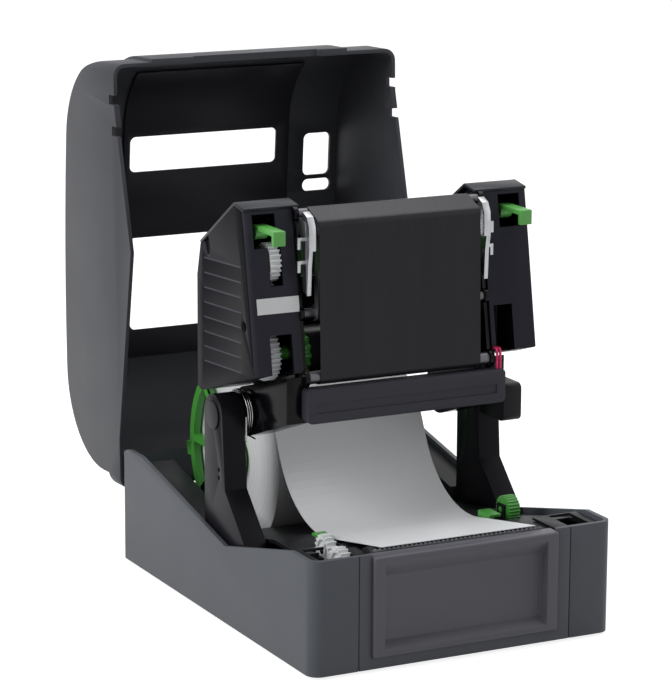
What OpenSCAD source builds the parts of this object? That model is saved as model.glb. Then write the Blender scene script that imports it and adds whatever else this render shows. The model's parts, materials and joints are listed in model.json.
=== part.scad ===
// Desktop label printer with its lid and its printing mechanism swung open.
// X runs to the printer's right, Y to its rear, Z up. Millimetres.
// The origin is the centre of the lower case's flat underside.

/* [Case] */
// Width of the bay at each side, from the mechanism's wall to the case's side
side_w = 37; // [36.5:0.5:42]
// Depth of the case, front to rear
case_d = 280; // [278:1:300]
// Height of the case's front wall
front_h = 70; // [69:0.5:72]
// Height of the seam where it dips at the sides
valley_h = 48.8; // [48:0.2:51]
// Distance of the dip behind the front face
valley_run = 119; // [115:1:122]
// Depth of the level part of the rim behind the front face
deck_run = 28; // [24:1:32]
// Wall thickness of the case
wall = 3; // [2.4:0.1:3.4]
// Radius of the upright corners
corner_r = 8; // [4:0.5:10]
// Height of a rubber foot below the case
foot_h = 2; // [1:0.5:5]
// Radius of a rubber foot
foot_r = 8; // [6:0.5:10]

/* [Lid] */
// Distance of the lid's hinge from the rear face, also the radius of the rear rim
hinge_in = 15; // [14.6:0.1:15.4]
// Height of the lid's hinge
hinge_z = 60; // [59:0.5:61]
// Angle through which the lid stands open
lid_angle = 92; // [86:1:93]
// Radius of the lid's rounded nose
nose_r = 60; // [57:1:62]
// Radius of the roof's crown, front to rear
crown_r = 1300; // [1200:10:1400]
// Radius of the lid's rounded tail
tail_r = 60; // [58:1:62]
// Height of the closed lid's top beside its raised middle
lid_top = 164; // [163:0.5:168]
// Wall thickness of the lid
lid_wall = 2.5; // [2:0.1:2.8]
// Height by which the middle of the roof stands proud
hump_h = 2; // [1:0.5:4]

/* [Mechanism] */
// Height of the mechanism's pivot
pivot_z = 125; // [124:0.5:126]
// Distance of the pivot behind the case's middle
pivot_y = 5.5; // [4:0.5:7]
// Length of the mechanism above its pivot
mech_l = 134.9; // [133:0.1:136]
// Reach of the mechanism in front of its pivot
mech_f = 60.2; // [59:0.1:61]
// Reach of the mechanism behind its pivot
mech_b = 22.5; // [21:0.1:23]
// Thickness of an upright arm
arm_t = 15; // [13:0.5:16]
// Radius of an arm's round head
arm_r = 13; // [12:0.5:13.5]
// Radius of the pins that the mechanism turns on
pivot_r = 5; // [4:0.25:6]
// Gap between arm and mechanism, which holds the torsion spring
spring_gap = 7; // [6.8:0.1:8]

/* [Media] */
// Outer radius of the label roll
roll_r = 60; // [50:1:61]
// Width of the labels
label_w = 104; // [96:1:106]
// Inner radius of the label roll's core
core_r = 12.7; // [12:0.1:14]
// Width of the ribbon
ribbon_w = 110; // [100:1:111]
// Radius of the full ribbon roll
supply_r = 15; // [12:0.5:15.5]
// Radius of the used ribbon roll
rewind_r = 11; // [8:0.5:11]
// Radius of the platen roller
platen_r = 8.3; // [7:0.1:8.5]
// Widest travel of each label roll holder
holder_travel = 12; // [8:1:14]

/* [Gears] */
// Gear module
gear_m = 1; // [0.98:0.01:1.03]
// Teeth of the gear on the ribbon supply spindle
supply_teeth = 30; // [29:1:31]
// Teeth of the gear on the ribbon rewind spindle
rewind_teeth = 22; // [21:1:22]
// Teeth of the gear between the two spindles
link_teeth = 36; // [35:1:38]
// Teeth of the platen's gear
platen_teeth = 20; // [18:1:20]
// Teeth of the motor's pinion
pinion_teeth = 12; // [10:1:13]
// Teeth of the gear that drives the ribbon
drive_teeth = 18; // [16:1:18]

/* [Hidden] */
$fn = 64;

// Overrun of every cut, running fit and working gap
over = 1;
fit = 0.05;
gap = 0.3;

// Colours as they look in daylight
grey = "#60636a";
dark = "#3c3b40";
black = "#222226";
green = "#57aa4b";
white = "#e2e6e9";
steel = "#c8c8c4";
paper = "#e6e8ea";
film = "#2b2a2e";

// Case: rim heights from front to rear, the hinge line, feet and sockets
ribbon_over = 6;
film_room = 10;
media_w = max(ribbon_w, label_w + ribbon_over);
wall_out = media_w / 2 + film_room;
half_w = wall_out + side_w;
half_d = case_d / 2;
case_in = half_w - wall;
arm_gap = 2;
arm_out = case_in - arm_gap;
arm_in = arm_out - arm_t;
hinge_y = half_d - hinge_in;
rear_h = hinge_z + hinge_in;
deck_y = -half_d + deck_run;
valley_y = -half_d + valley_run;
knee_share = 1.25;
knee_y = hinge_y - knee_share * hinge_in;
rim = [[-half_d, front_h], [deck_y, front_h], [valley_y, valley_h], [knee_y, rear_h],
  [half_d, rear_h]];
function rim_z(y) = lookup(y, rim);
seam_gap = 0.8;
lid_pin_r = 4;
lug_r = 8;
lug_t = 4;
pin_boss_t = 2.5;
lug_in = case_in - pin_boss_t - over - lug_t;
foot_inset = 20;
foot_x = half_w - foot_inset;
foot_y = half_d - foot_inset - wall;
foot_seat = 1;
slot_room = 8;
slot_half = label_w / 2 + slot_room;
slot_z = 34.5;
slot_h = 12.5;
groove_w = 0.8;
usb_room = 59;
usb_w = 13;
usb_x = [case_in - usb_room, case_in - usb_room + usb_w];
usb_z = [12, 23];
jack_room = 31;
jack_z = 17.5;
jack_at = [case_in - jack_room, jack_z];
jack_r = 4.5;
jack_pin_r = 1;
switch_room = 21;
switch_w = 14;
switch_x = [case_in - switch_room, case_in - switch_room + switch_w];
switch_z = [10, 31];

// Front panel with its scooped finger grip
panel_side = 10.4;
panel_half = label_w / 2 + panel_side;
groove_room = 9.1;
groove_x = panel_half + groove_room;
panel_z = 7.4;
panel_drop = 1.5;
panel_top = front_h - panel_drop;
panel_proud = 2.8;
panel_t = 11;
panel_front = -half_d - panel_proud;
panel_back = panel_front + panel_t;
scoop_d = 8;
scoop_side = 7.4;
scoop_half = panel_half - scoop_side;
scoop_margin = 4;
scoop_slope = 10;

// Inner frame: sheet thickness, side rails, chute under the labels and the roll's bay
sheet = 2.5;
arm_step = 2;
rail_in = arm_in - arm_step;
rail_drop = 3.5;
arm_seat = 44;
frame_front = panel_back + gap;
deck_drop = 4;
deck_z = front_h - deck_drop;
platen_drop = 10;
platen_y = -half_d + 2 * platen_drop;
platen_z = front_h - platen_drop;
roller_gap = 0.7;
well_front = platen_y - platen_r - roller_gap;
well_back = platen_y + platen_r + roller_gap + sheet;
well_room = 6;
well_half = label_w / 2 + well_room;
bearing_t = 7;
bearing_h = 18;
bearing_z = deck_z - bearing_h;
chute_step = 5;
chute_fall = 9.5;
chute_high = deck_z - chute_step;
chute_low = deck_z - chute_fall;
chute_shares = [0.6, 0.543, 0.321];
ramp_share = 0.18;
ramp_drop = 4.5;
roll_y = 66;
roll_z = 80;
bay_gap = 4;
bay_r = roll_r + bay_gap;
bay_depth = 33.5;
bay_end_z = roll_z - bay_depth;
bay_mouth = sqrt(bay_r * bay_r - bay_depth * bay_depth);
bay_foot = 16;
holder_slot_run = 32;
holder_slot_y = roll_y + holder_slot_run;
holder_slot_w = 10;
sensor_w = 8;
sensor_slot_w = 9;
sensor_slot_y = -95;
sensor_stop = 6;
sensor_slot_half = label_w / 2 - sensor_stop;
screw_r = 1.8;
screw_head_r = 3.2;
screw_head_h = 1.6;
screw_l = 11;
post_h = 12;
post_x = rail_in + sheet + screw_head_r - over / 2;
post_run = 20;

// Platen and drive train, all in one plane left of the platen
shaft_r = 3;
bush_r = 5.5;
gear_room = 11;
gear_x = -(well_half + bearing_t + gear_room);
gear_t = 6;
rubber_over = 4;
rubber_half = label_w / 2 + rubber_over;
motor_y = -100;
motor_low = 2;
motor_high = 1;
motor_side = bearing_z - motor_high - wall - motor_low;
motor_z = wall + motor_low + motor_side / 2;
motor_l = 34;
motor_pin_r = 2.5;
motor_round = 3;
motor_x = -(well_half + bearing_t + over);
stub_r = 2;
drive_angle = 12;
tear_t = 1.2;
tear_rise = 0.2;
tear_pitch = 3;
tear_bite = 1.2;
tear_y = frame_front + roller_gap;
plate_t = 1.5;
plate_margin = 4;

// Arms: front edge below the head, the flare at the foot and the cable cover
pin_end = over / 2;
arm_flare = [-16.7, -44.4];
arm_toe = [-43.2, -71];
arm_foot = -46;
cap_r = 9;
cap_t = 1.2;
arm_hole_r = 1.4;
arm_holes = [[-8, -33], [-8, -38]];
cover_front = -42.5;
cover_step = 2;
cover_z = [-15, 9];
cover_r = 4;

// Mechanism: side walls, lobes round the pivot and the outline of the side blocks
wall_t = 3;
wall_in = wall_out - wall_t;
lobe_out = arm_in - spring_gap;
lobe_step = 5;
lobe_in = wall_out - lobe_step;
lobe_r = 15.5;
lobe_gap = 2.6;
lobe_low = 4;
bar_inset = 2.7;
bar_seat = mech_f - bar_inset;
block_wall = 2.5;
wall_inset = 1.5;
top_shares = [[-0.714, 0.984], [-0.503, 1]];
back_shares = [[0.778, 0.771], [1, 0.623], [1, 0.104], [0.756, 0.089]];
heel_shares = [[-1, 0.267], [-0.819, 0.734]];
block = concat([for (s = top_shares) [s[0] * mech_f, s[1] * mech_l]],
  [for (s = back_shares) [s[0] * mech_b, s[1] * mech_l]],
  [for (s = heel_shares) [s[0] * mech_f, s[1] * mech_l]]);
lobe_top = lookup(-bar_seat, [block[6], block[5]]) - lobe_gap;
relief_r = 48;
relief_x = arm_in + over / 2;
bridge_z = [0.185 * mech_l, 0.63 * mech_l];
block_cap_t = 2;
rib_n = 8;
rib_z = 34;
rib_pitch = 9.2;
rib_w = 1.2;
rib_d = 0.6;
rib_slope = -3;
rib_y = [-40, 14];
pocket_room = 3;
pocket_w = 13;
pocket_x = [wall_out + pocket_room, wall_out + pocket_room + pocket_w];
pocket_z = [34, 64];
pocket_y = -38;
pocket_wall = 2;

// Places in the mechanism, seen from the pivot
supply_at = [-0.59 * mech_f, 0.322 * mech_l];
spindle_share = 0.9313;
spindle_turn = 93.95;
rewind_at = supply_at + spindle_share * gear_m * (rewind_teeth / 2 + supply_teeth / 2 + link_teeth)
  * [cos(spindle_turn), sin(spindle_turn)];
head_pivot = [-0.855 * mech_f, 0.519 * mech_l];
low_bar = [-0.972 * mech_f, 0.237 * mech_l];
head_nose = [-0.91 * mech_f, 0.908 * mech_l];
top_bar = [-0.723 * mech_f, 0.96 * mech_l];
low_bar_r = 4;
nose_bar_r = 4.8;
top_bar_r = 3;
head_pin_r = 3;
ear = 1.5;
film_t = 0.35;
film_hug = 30;
spindle_r = 4;
ribbon_core_r = 6.5;
hub_r = 14.8;
hub_small_r = 9.5;
hub_t = 4;
hub_knobs = 18;
hub_small_knobs = 12;
hub_knob_r = 1.5;
hub_edge = lobe_in - over / 2;
spindle_gear_room = 16.7;
spindle_gear_x = -(wall_out + spindle_gear_room);
spindle_gear_t = 6.5;
link_pin_r = 2.5;

// Latches, button, lens, printhead and sensor bar
latch_room = 15;
latch_in = wall_out + latch_room;
latch_w = 8;
latch_gap = 3.5;
latch_at = [-0.631 * mech_f, 0.886 * mech_l];
latch_hub_r = 4.5;
latch_reach = 28;
latch_t = 3;
latch_drop = 9;
latch_pin_r = 2.5;
latch_window_shares = [0.82, 0.97];
latch_slot = [-129, -106];
button_room = 11;
button_w = 17;
button_x = [wall_out + button_room, wall_out + button_room + button_w];
button_z = 0.5 * mech_l;
button_l = 26;
button_proud = 1;
button_t = 7;
button_lip = 1.5;
button_lip_t = 2;
button_r = 2;
lens_z = 0.341 * mech_l;
lens_room = 10.5;
lens_w = 6;
lens_x = [wall_out + lens_room, wall_out + lens_room + lens_w];
lens_l = 6;
lens_t = 3.5;
lens_r = 1.5;
sink_front = 1.72;
sink_back = 2.78;
sink_y = [head_nose[0] - sink_front, head_nose[0] + sink_back];
sink_lift = 6;
sink_top = 3.5;
sink_z = [head_pivot[1] + sink_lift, head_nose[1] + sink_top];
sink_half = ribbon_w / 2 - over;
sink_ear_t = 5;
sink_ear_r = 5;
fin_n = 9;
fin_pitch = 11;
fin_t = 2;
fin_d = 3;
board_rise = 14;
board_drop = 10;
board_z = [sink_z[0] + board_rise, sink_z[1] - board_drop];
board_t = 1.6;
board_inset = 3;
board_half = ribbon_w / 2 - board_inset;
ceramic_h = 5;
ceramic_t = 2.4;
bar_over = 6;
bar_x = [-wall_out, wall_out + bar_over];
bar_d = 9;
bar_h = 21;
bar_below = 5.97;
bar_z = [low_bar[1] - bar_below - bar_h, low_bar[1] - bar_below];
bar_round = 3;
bar_slot_h = 6;
wire_room = [1, 3.2];
wire_x = [wall_out + wire_room[0], wall_out + wire_room[1]];
wire_r = 0.8;
wire_bend = 4.3;
wire_rise = 8;
bracket_clear = 2.5;
bracket_x = [ribbon_w / 2 + bracket_clear, wall_in - 2 * fit];
bracket_t = 1.3;
plate_shares = [[-0.9635, 0.6227], [-0.8721, 0.6227], [-0.8555, 0.8377], [-0.7309, 0.9044],
  [-0.7641, 0.9489], [-0.9302, 0.934]];
path_shares = [[-1.0133, 0.81], [-1.0133, 0.8599], [-1.0033, 0.9192], [-0.9551, 0.96],
  [-0.8638, 0.9785]];
leg_shares = [[-0.97, 0.6079], [-0.9833, 0.7413], [-1.0133, 0.825]];
web_shares = [[-0.8306, 0.9414], [-0.8638, 0.6227]];
hook_shares = [[-0.9468, 0.7116], [-0.9468, 0.8154]];
function in_mech(shares) = [for (s = shares) [s[0] * mech_f, s[1] * mech_l]];
bracket_path = in_mech(path_shares);
leg_w = 2.6;
hook_l = 7;
hook_w = 2;
hook_out = wall_out + hook_w;

// Windows and openings in the lid, measured with the lid closed
window_left = 6;
window_right = 11;
window_x = [-wall_out + window_left, wall_out - window_right];
front_window = [-84, -56];
rear_window = [-14.5, 53];
hole_room = [2, 1.5];
button_hole = [[button_x[0] - hole_room[0], button_x[1] + hole_room[1]], [-76, -46.5]];
lens_hole = [button_hole[0] + [0, over], [-43.7, -35.2]];
hole_r = 4;
liner_t = 1.6;
liner_side = 3.5;
liner_half = wall_out - liner_side;
liner_y = [-128, 70];
pane_lip = 2;
pane_t = 1.4;
pane_gap = 0.1;
hump_side = [27, 36];
hump_x = [-half_w + hump_side[0], half_w - hump_side[1]];
notch_w = 6;
notch_d = 9;
notch_shares = [-0.836, -0.693];
notch_tab = 1.2;
grip_side = 20;
grip_half = wall_out - grip_side;
grip_h = 5;

// Torsion spring on the left arm
spring_wire = 1;
spring_turns = 3.75;
spring_pitch = 1.45;
spring_r = arm_r + spring_wire;
boss_step = 2.5;
spring_boss_r = spring_r - boss_step;
spring_leg = 16;
curl_rings = 8;
wire_sides = 6;

// Label guides with their thumbwheel, roll holders and the paper
knob_r = 8.5;
knob_room = 18;
knob_x = label_w / 2 + knob_room;
knob_t = 8;
knob_y = -62;
knob_z = 61.5;
knob_teeth = 24;
knurl_d = 0.7;
lug_plate = 1.6;
lug_half = 4;
lug_rise = 3.5;
knob_lugs = [knob_x - gap - lug_plate, knob_x + knob_t + gap];
guide_y = [-74, -60];
guide_h = 6;
guide_flange = 5;
guide_t = 3.7;
guide_rib = 2;
guide_clear = 1.3;
guide_travel = 5;
guide_float = 0.1;
stem_t = 2;
stem_y = [-70, -66];
holder_t = 4.7;
holder_clear = 1.6;
holder_in = label_w / 2 + holder_clear;
ring_w = 6;
ring_in = roll_r - ring_w;
spoke_w = 5;
spoke_angles = [-45, 0, 45];
ring_angles = [-58, 50];
holder_hub_r = 17;
hub_spigot = 6;
lever_l = 5;
lever_r = roll_r + lever_l;
lever_angle = -8;
lever_w = 9;
foot_reach = 14;
foot_slim = 3.5;
roll_gap = 0.6;
paper_t = 0.4;
core_t = 2;
web_end = 13.7;
web_hug = 20;

// Main board and the sockets behind the rear wall
pcb_half = 36;
pcb_y = [20, 100];
pcb_z = 5;
pcb_t = 1.6;
pcb_inset = 5;
standoff_r = 3;
chip_shares = [[0.12, 0.15, 0.25, 0.22, 0.025], [0.5, 0.1, 0.2, 0.18, 0.02],
  [0.55, 0.45, 0.12, 0.3, 0.06], [0.2, 0.6, 0.14, 0.12, 0.02], [0.1, 0.88, 0.7, 0.08, 0.07]];
port_wall = 1.5;
port_deep = 17;
jack_deep = 14;
switch_deep = 11;
switch_lean = 8;
rocker_half = 8.6;
rocker_rise = 1.8;
rocker_axis = 6;
rocker_pin_r = 1.5;

// Circles, gears and outlines
function gear_r(n) = gear_m * n / 2;
function polar(r, a) = [r * cos(a), r * sin(a)];
function bearing(p, q) = atan2(q[1] - p[1], q[0] - p[0]);
// Point of a circle of radius a around p that is b away from q, left of the way from p to q
function meet(p, a, q, b) = let(d = norm(q - p), u = (q - p) / d,
  s = (a * a - b * b + d * d) / (2 * d)) p + s * u + sqrt(a * a - s * s) * [-u[1], u[0]];
// Turn of a gear of nb teeth that meshes, at the bearing given, with one of na teeth turned by ta
function mesh_turn(ta, na, nb, bearing) =
  bearing + 180 - (0.5 - (bearing - ta) * na / 360) * 360 / nb;
function arc(at, r, a0, a1, n) = [for (i = [0:n]) at + polar(r, a0 + (a1 - a0) * i / n)];
function down(path, d) = [for (p = path) [p[0], p[1] - d]];
function back(path) = [for (i = [len(path) - 1:-1:0]) path[i]];
// Clockwise outline drawn in by d
function inset(points, d) = let(n = len(points)) [for (i = [0:n - 1])
  let(a = points[(i + n - 1) % n], b = points[i], c = points[(i + 1) % n],
  u = (b - a) / norm(b - a), v = (c - b) / norm(c - b)) b - d * (v - u) / cross(u, v)];
// Bearing at which a stretch outside both circles leaves them, and one that crosses between them
function outer_turn(p, a, q, b) = bearing(p, q) + acos((a - b) / norm(q - p));
function cross_turn(p, a, q, b, side) = bearing(p, q) + side * acos((a + b) / norm(q - p));

platen_at = [platen_y, platen_z];
motor_at = [motor_y, motor_z];
idler_room = norm(platen_at - motor_at) - gear_r(platen_teeth) - gear_r(pinion_teeth);
idler_teeth = ceil(idler_room / gear_m);
idler_at = meet(motor_at, gear_r(pinion_teeth + idler_teeth), platen_at,
  gear_r(platen_teeth + idler_teeth));
drive_at = platen_at + polar(gear_r(platen_teeth + drive_teeth), drive_angle);
link_at = meet(rewind_at, gear_r(rewind_teeth + link_teeth), supply_at,
  gear_r(supply_teeth + link_teeth));
idler_turn = mesh_turn(0, platen_teeth, idler_teeth, bearing(platen_at, idler_at));
pinion_turn = mesh_turn(idler_turn, idler_teeth, pinion_teeth, bearing(idler_at, motor_at));
drive_turn = mesh_turn(0, platen_teeth, drive_teeth, bearing(platen_at, drive_at));
link_turn = mesh_turn(0, supply_teeth, link_teeth, bearing(supply_at, link_at));
rewind_turn = mesh_turn(link_turn, link_teeth, rewind_teeth, bearing(link_at, rewind_at));

// Lid outline, closed: a nose arc and a tail arc that a long crown arc joins without a kink
tail_in = 8;
tail_y = half_d - tail_in - tail_r;
tail_z = lid_top - tail_r;
crown_z = lid_top - crown_r;
crown_turn = asin((tail_y + half_d - nose_r) / (crown_r - nose_r));
nose_y = -half_d + nose_r;
nose_z = crown_z + (crown_r - nose_r) * cos(crown_turn);
arc_steps = 14;
crown_steps = 6;
step_low = rear_h + 2 * tail_in;
step_high = step_low + tail_in / 2;
function lid_outline(d, low) = concat([[-half_d + d, low]],
  arc([nose_y, nose_z], nose_r - d, 180, 90 + crown_turn, arc_steps),
  arc([tail_y, crown_z], crown_r - d, 90 + crown_turn, 90, crown_steps),
  arc([tail_y, tail_z], tail_r - d, 90, 0, arc_steps),
  [[tail_y + tail_r - d, step_high], [half_d - d, step_low], [half_d - d, low]]);
function lid_layer(d0, d1) = concat(lid_outline(d0, step_low), back(lid_outline(d1, step_low)));

// Label web: off the roll's front, round a sagging bend and over the platen
bend_y = -52;
bend_r = 63.5;
bend_at = [bend_y, chute_low + over + bend_r];
roll_at = [roll_y, roll_z];
web_roll_r = roll_r + roll_gap;
web_platen_r = platen_r + gap;
web_leave = cross_turn(roll_at, web_roll_r, bend_at, bend_r, -1);
web_rise = cross_turn(bend_at, bend_r, platen_at, web_platen_r, 1);
web_touch = platen_at + polar(web_platen_r, web_rise + 180);
web_path = concat(arc(roll_at, web_roll_r, web_leave - web_hug, web_leave, 4),
  arc(bend_at, bend_r, web_leave - 180, web_rise, arc_steps),
  [web_touch, web_touch + polar(web_end, web_rise - 90)]);

// Ribbon: supply roll, lower bar, nose of the head, upper bar, used roll
film_r = [supply_r + gap, low_bar_r + gap, nose_bar_r + gap, top_bar_r + gap, rewind_r + gap];
film_off = 360 + outer_turn(supply_at, film_r[0], low_bar, film_r[1]);
film_up = outer_turn(low_bar, film_r[1], head_nose, film_r[2]);
film_over = outer_turn(head_nose, film_r[2], top_bar, film_r[3]);
film_home = outer_turn(top_bar, film_r[3], rewind_at, film_r[4]);
film_path = concat(arc(supply_at, film_r[0], film_off + film_hug, film_off, 4),
  arc(low_bar, film_r[1], film_off, film_up, 8), arc(head_nose, film_r[2], film_up, film_over, 6),
  arc(top_bar, film_r[3], film_over, film_home, 8),
  arc(rewind_at, film_r[4], film_home, film_home - film_hug, 4));

// Side rail of the inner frame and the chute under the labels, front to rear
arm_front = pivot_y + arm_foot - arm_step;
arm_back = pivot_y + arm_r + arm_step;
rail_top = [[-half_d + wall + gap, deck_z], [deck_y, deck_z],
  [arm_front - arm_step, rim_z(arm_front) - rail_drop], [arm_front, arm_seat],
  [arm_back, arm_seat], [arm_back + arm_step, rim_z(arm_back) - rail_drop],
  [knee_y - sheet, rear_h - rail_drop]];
chute = [[well_back - sheet, chute_high], [-chute_shares[0] * half_d, chute_high],
  [-chute_shares[1] * half_d, chute_low], [-chute_shares[2] * half_d, chute_low],
  [-ramp_share * half_d, chute_low - ramp_drop], [roll_y - bay_mouth, bay_end_z]];
gear_slot_x = [gear_x - over, gear_x + gear_t + over];
gear_slot_y = [platen_y - gear_r(platen_teeth + 2) - over, drive_at[0] + gear_r(drive_teeth + 4)];
motor_plate_x = [motor_x - sheet, motor_x];

module slab(x, y, z) {
  translate([x[0], y[0], z[0]]) cube([x[1] - x[0], y[1] - y[0], z[1] - z[0]]);
}
module prism_x(x, points) {
  translate([x[0], 0, 0]) rotate([90, 0, 90]) linear_extrude(x[1] - x[0]) polygon(points);
}
module rod_x(x, at, r) {
  translate([x[0], at[0], at[1]]) rotate([0, 90, 0]) cylinder(h = x[1] - x[0], r = r);
}
module rod_y(y, at, r) {
  translate([at[0], y[0], at[1]]) rotate([-90, 0, 0]) cylinder(h = y[1] - y[0], r = r);
}
module both_sides() {
  children();
  mirror([1, 0, 0]) children();
}
module at_pivot() {
  translate([0, pivot_y, pivot_z]) children();
}
module open_lid() {
  translate([0, hinge_y, hinge_z]) rotate([-lid_angle, 0, 0]) translate([0, -hinge_y, -hinge_z])
    children();
}
// Flat rectangle with round corners
module plate_2d(x, y, r) {
  translate([x[0] + r, y[0]]) square([x[1] - x[0] - 2 * r, y[1] - y[0]]);
  translate([x[0], y[0] + r]) square([x[1] - x[0], y[1] - y[0] - 2 * r]);
  for (px = [x[0] + r, x[1] - r]) for (py = [y[0] + r, y[1] - r]) translate([px, py]) circle(r);
}
// The same rectangle standing in X and Z, extruded along Y
module plate_y(y, x, z, r) {
  translate([0, y[1], 0]) rotate([90, 0, 0]) linear_extrude(y[1] - y[0]) plate_2d(x, z, r);
}
// Outline with n equal teeth: each tooth is given as shares of the pitch and radii
function toothed(at, n, turn, tooth) =
  [for (i = [0:n - 1]) for (s = tooth) at + polar(s[1], turn + (i + s[0]) * 360 / n)];
// Gear along X with straight-flanked teeth, thinner than half a pitch
module gear(x, at, n, turn, bore) {
  pitch_r = gear_r(n);
  tip_r = pitch_r + 0.85 * gear_m;
  root_r = pitch_r - 1.25 * gear_m;
  difference() {
    prism_x(x, toothed(at, n, turn, [[-0.31, root_r], [-0.215, pitch_r], [-0.1, tip_r],
      [0.1, tip_r], [0.215, pitch_r], [0.31, root_r]]));
    rod_x([x[0] - over, x[1] + over], at, bore);
  }
}
// Strip of thickness t to the left of a path
module strip(x, path, t) {
  last = len(path) - 1;
  side = [for (i = [0:last]) let(a = path[max(i - 1, 0)], b = path[min(i + 1, last)],
    u = (b - a) / norm(b - a)) path[i] + t * [-u[1], u[0]]];
  prism_x(x, concat(path, back(side)));
}
// Round wire along a path in space that nowhere runs along X
module wire_along(path, r) {
  n = len(path);
  s = wire_sides;
  points = [for (i = [0:n - 1]) let(a = path[max(i - 1, 0)], b = path[min(i + 1, n - 1)],
    t = (b - a) / norm(b - a), w = [1, 0, 0] - t[0] * t, u = w / norm(w), v = cross(t, u))
    for (k = [0:s - 1]) path[i] + r * (cos(360 * k / s) * u + sin(360 * k / s) * v)];
  sides = [for (i = [0:n - 2]) for (k = [0:s - 1]) let(p = i * s + k, q = i * s + (k + 1) % s)
    for (f = [[p, p + s, q + s], [p, q + s, q]]) f];
  e = (n - 1) * s;
  ends = [for (k = [1:s - 2]) for (f = [[0, k, k + 1], [e, e + k + 1, e + k]]) f];
  polyhedron(points, concat(sides, ends));
}

module lower_case() {
  outer = concat([for (p = [0:3]) rim[p]], arc([hinge_y, hinge_z], hinge_in, 90, 0, arc_steps),
    [[half_d, 0], [-half_d, 0]]);
  inner_r = max(corner_r - wall, over);
  color(grey) difference() {
    intersection() {
      prism_x([-half_w, half_w], outer);
      linear_extrude(lid_top) plate_2d([-half_w, half_w], [-half_d, half_d], corner_r);
    }
    translate([0, 0, wall]) linear_extrude(lid_top)
      plate_2d([-case_in, case_in], [-half_d + wall, half_d - wall], inner_r);
    // Opening for the front panel
    slab([-panel_half - gap, panel_half + gap], [-half_d - over, -half_d + wall + over],
      [panel_z - gap, front_h + over]);
    // Feed slot for fanfold labels in the rear wall
    slab([-slot_half, slot_half], [half_d - wall - over, half_d + over], [slot_z, slot_z + slot_h]);
    // Notches through which the lid's hinge lugs swing
    both_sides() slab([lug_in - gap, lug_in + lug_t + gap], [hinge_y, half_d + over],
      [hinge_z - lug_r - gap, rear_h + over]);
    // Seats for the feet and holes of the case screws
    foot_places() translate([0, 0, -over]) cylinder(h = over + foot_seat, r = foot_r);
    screw_places() translate([0, 0, -over]) {
      cylinder(h = wall + 2 * over, r = screw_r + fit);
      cylinder(h = over + gap + screw_head_h, r = screw_head_r + fit);
    }
    // Sockets in the rear wall: data, power and the switch
    slab(usb_x, [half_d - wall - over, half_d + over], usb_z);
    rod_y([half_d - wall - over, half_d + over], jack_at, jack_r);
    slab(switch_x, [half_d - wall - over, half_d + over], switch_z);
    // Thin grooves beside the panel
    for (x = [-groove_x, groove_x]) slab([x, x + groove_w],
      [-half_d - over, -half_d + groove_w], [0, front_h + over]);
  }
  // Bosses that end the hinge pins
  color(grey) both_sides() rod_x([case_in - pin_boss_t, case_in + pin_boss_t / 2],
    [hinge_y, hinge_z], lug_r);
}
module foot_places() {
  for (x = [-foot_x, foot_x]) for (y = [-foot_y, foot_y]) translate([x, y, 0]) children();
}
module screw_places() {
  for (x = [-post_x, post_x]) for (y = [deck_y + post_run, knee_y - post_run])
    translate([x, y, 0]) children();
}

module front_panel() {
  deep = panel_front + scoop_d;
  color(dark) difference() {
    slab([-panel_half, panel_half], [panel_front, panel_back], [panel_z, panel_top]);
    // Finger scoop: sloped above and below
    prism_x([-scoop_half, scoop_half], [[panel_front - over, panel_top - scoop_margin],
      [panel_front, panel_top - scoop_margin], [deep, panel_top - scoop_margin - scoop_slope],
      [deep, panel_z + 2 * scoop_margin], [panel_front, panel_z + scoop_margin],
      [panel_front - over, panel_z + scoop_margin]]);
  }
}

module inner_frame() {
  color(black) difference() {
    intersection() {
      linear_extrude(lid_top) plate_2d([-case_in + gap, case_in - gap],
        [-half_d + wall + gap, half_d - wall - gap], max(corner_r - wall, over));
      frame_body();
    }
    screw_places() translate([0, 0, wall - over]) cylinder(h = over + screw_l, r = screw_r + fit);
    // Seats of the platen's bushes and the hole of the motor's shaft
    rod_x([-well_half - bearing_t - over, well_half + bearing_t + over], platen_at, bush_r + fit);
    rod_x([motor_plate_x[0] - over, motor_x + over], motor_at, motor_pin_r + gap);
    // Slots for the gears and the latches
    slab(gear_slot_x, gear_slot_y, [bearing_z - over, deck_z + over]);
    both_sides() slab([latch_in - latch_gap, latch_in + latch_w + latch_gap], latch_slot,
      [bearing_z - over, deck_z + over]);
    // Slots for the label sensor, the guides, the thumbwheel and the roll holders
    slab([-sensor_slot_half, sensor_slot_half], [sensor_slot_y, sensor_slot_y + sensor_slot_w],
      [chute_high - sheet - over, chute_high + over]);
    both_sides() slab([label_w / 2 + guide_clear, label_w / 2 + guide_clear + 2 * stem_t
      + guide_travel], stem_y, [chute_low - sheet - over, chute_low + over]);
    slab([knob_x - gap, knob_x + knob_t + gap], [knob_y - knob_r - over, knob_y + knob_r + over],
      [chute_low - sheet - over, chute_low + over]);
    both_sides() slab([holder_in - over, holder_in + holder_t + holder_travel + over],
      [holder_slot_y - holder_slot_w / 2, holder_slot_y + holder_slot_w / 2],
      [wall + over, bay_end_z - over]);
    rod_x([knob_lugs[0] - over, knob_lugs[1] + lug_plate + over], [knob_y, knob_z], stub_r + fit);
    // Feed slot in line with the one in the case
    slab([-slot_half, slot_half], [roll_y, half_d], [slot_z, slot_z + slot_h]);
  }
  color(black) for (at = [idler_at, drive_at]) rod_x([gear_x - over / 2, motor_plate_x[1]], at,
    stub_r);
}

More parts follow.
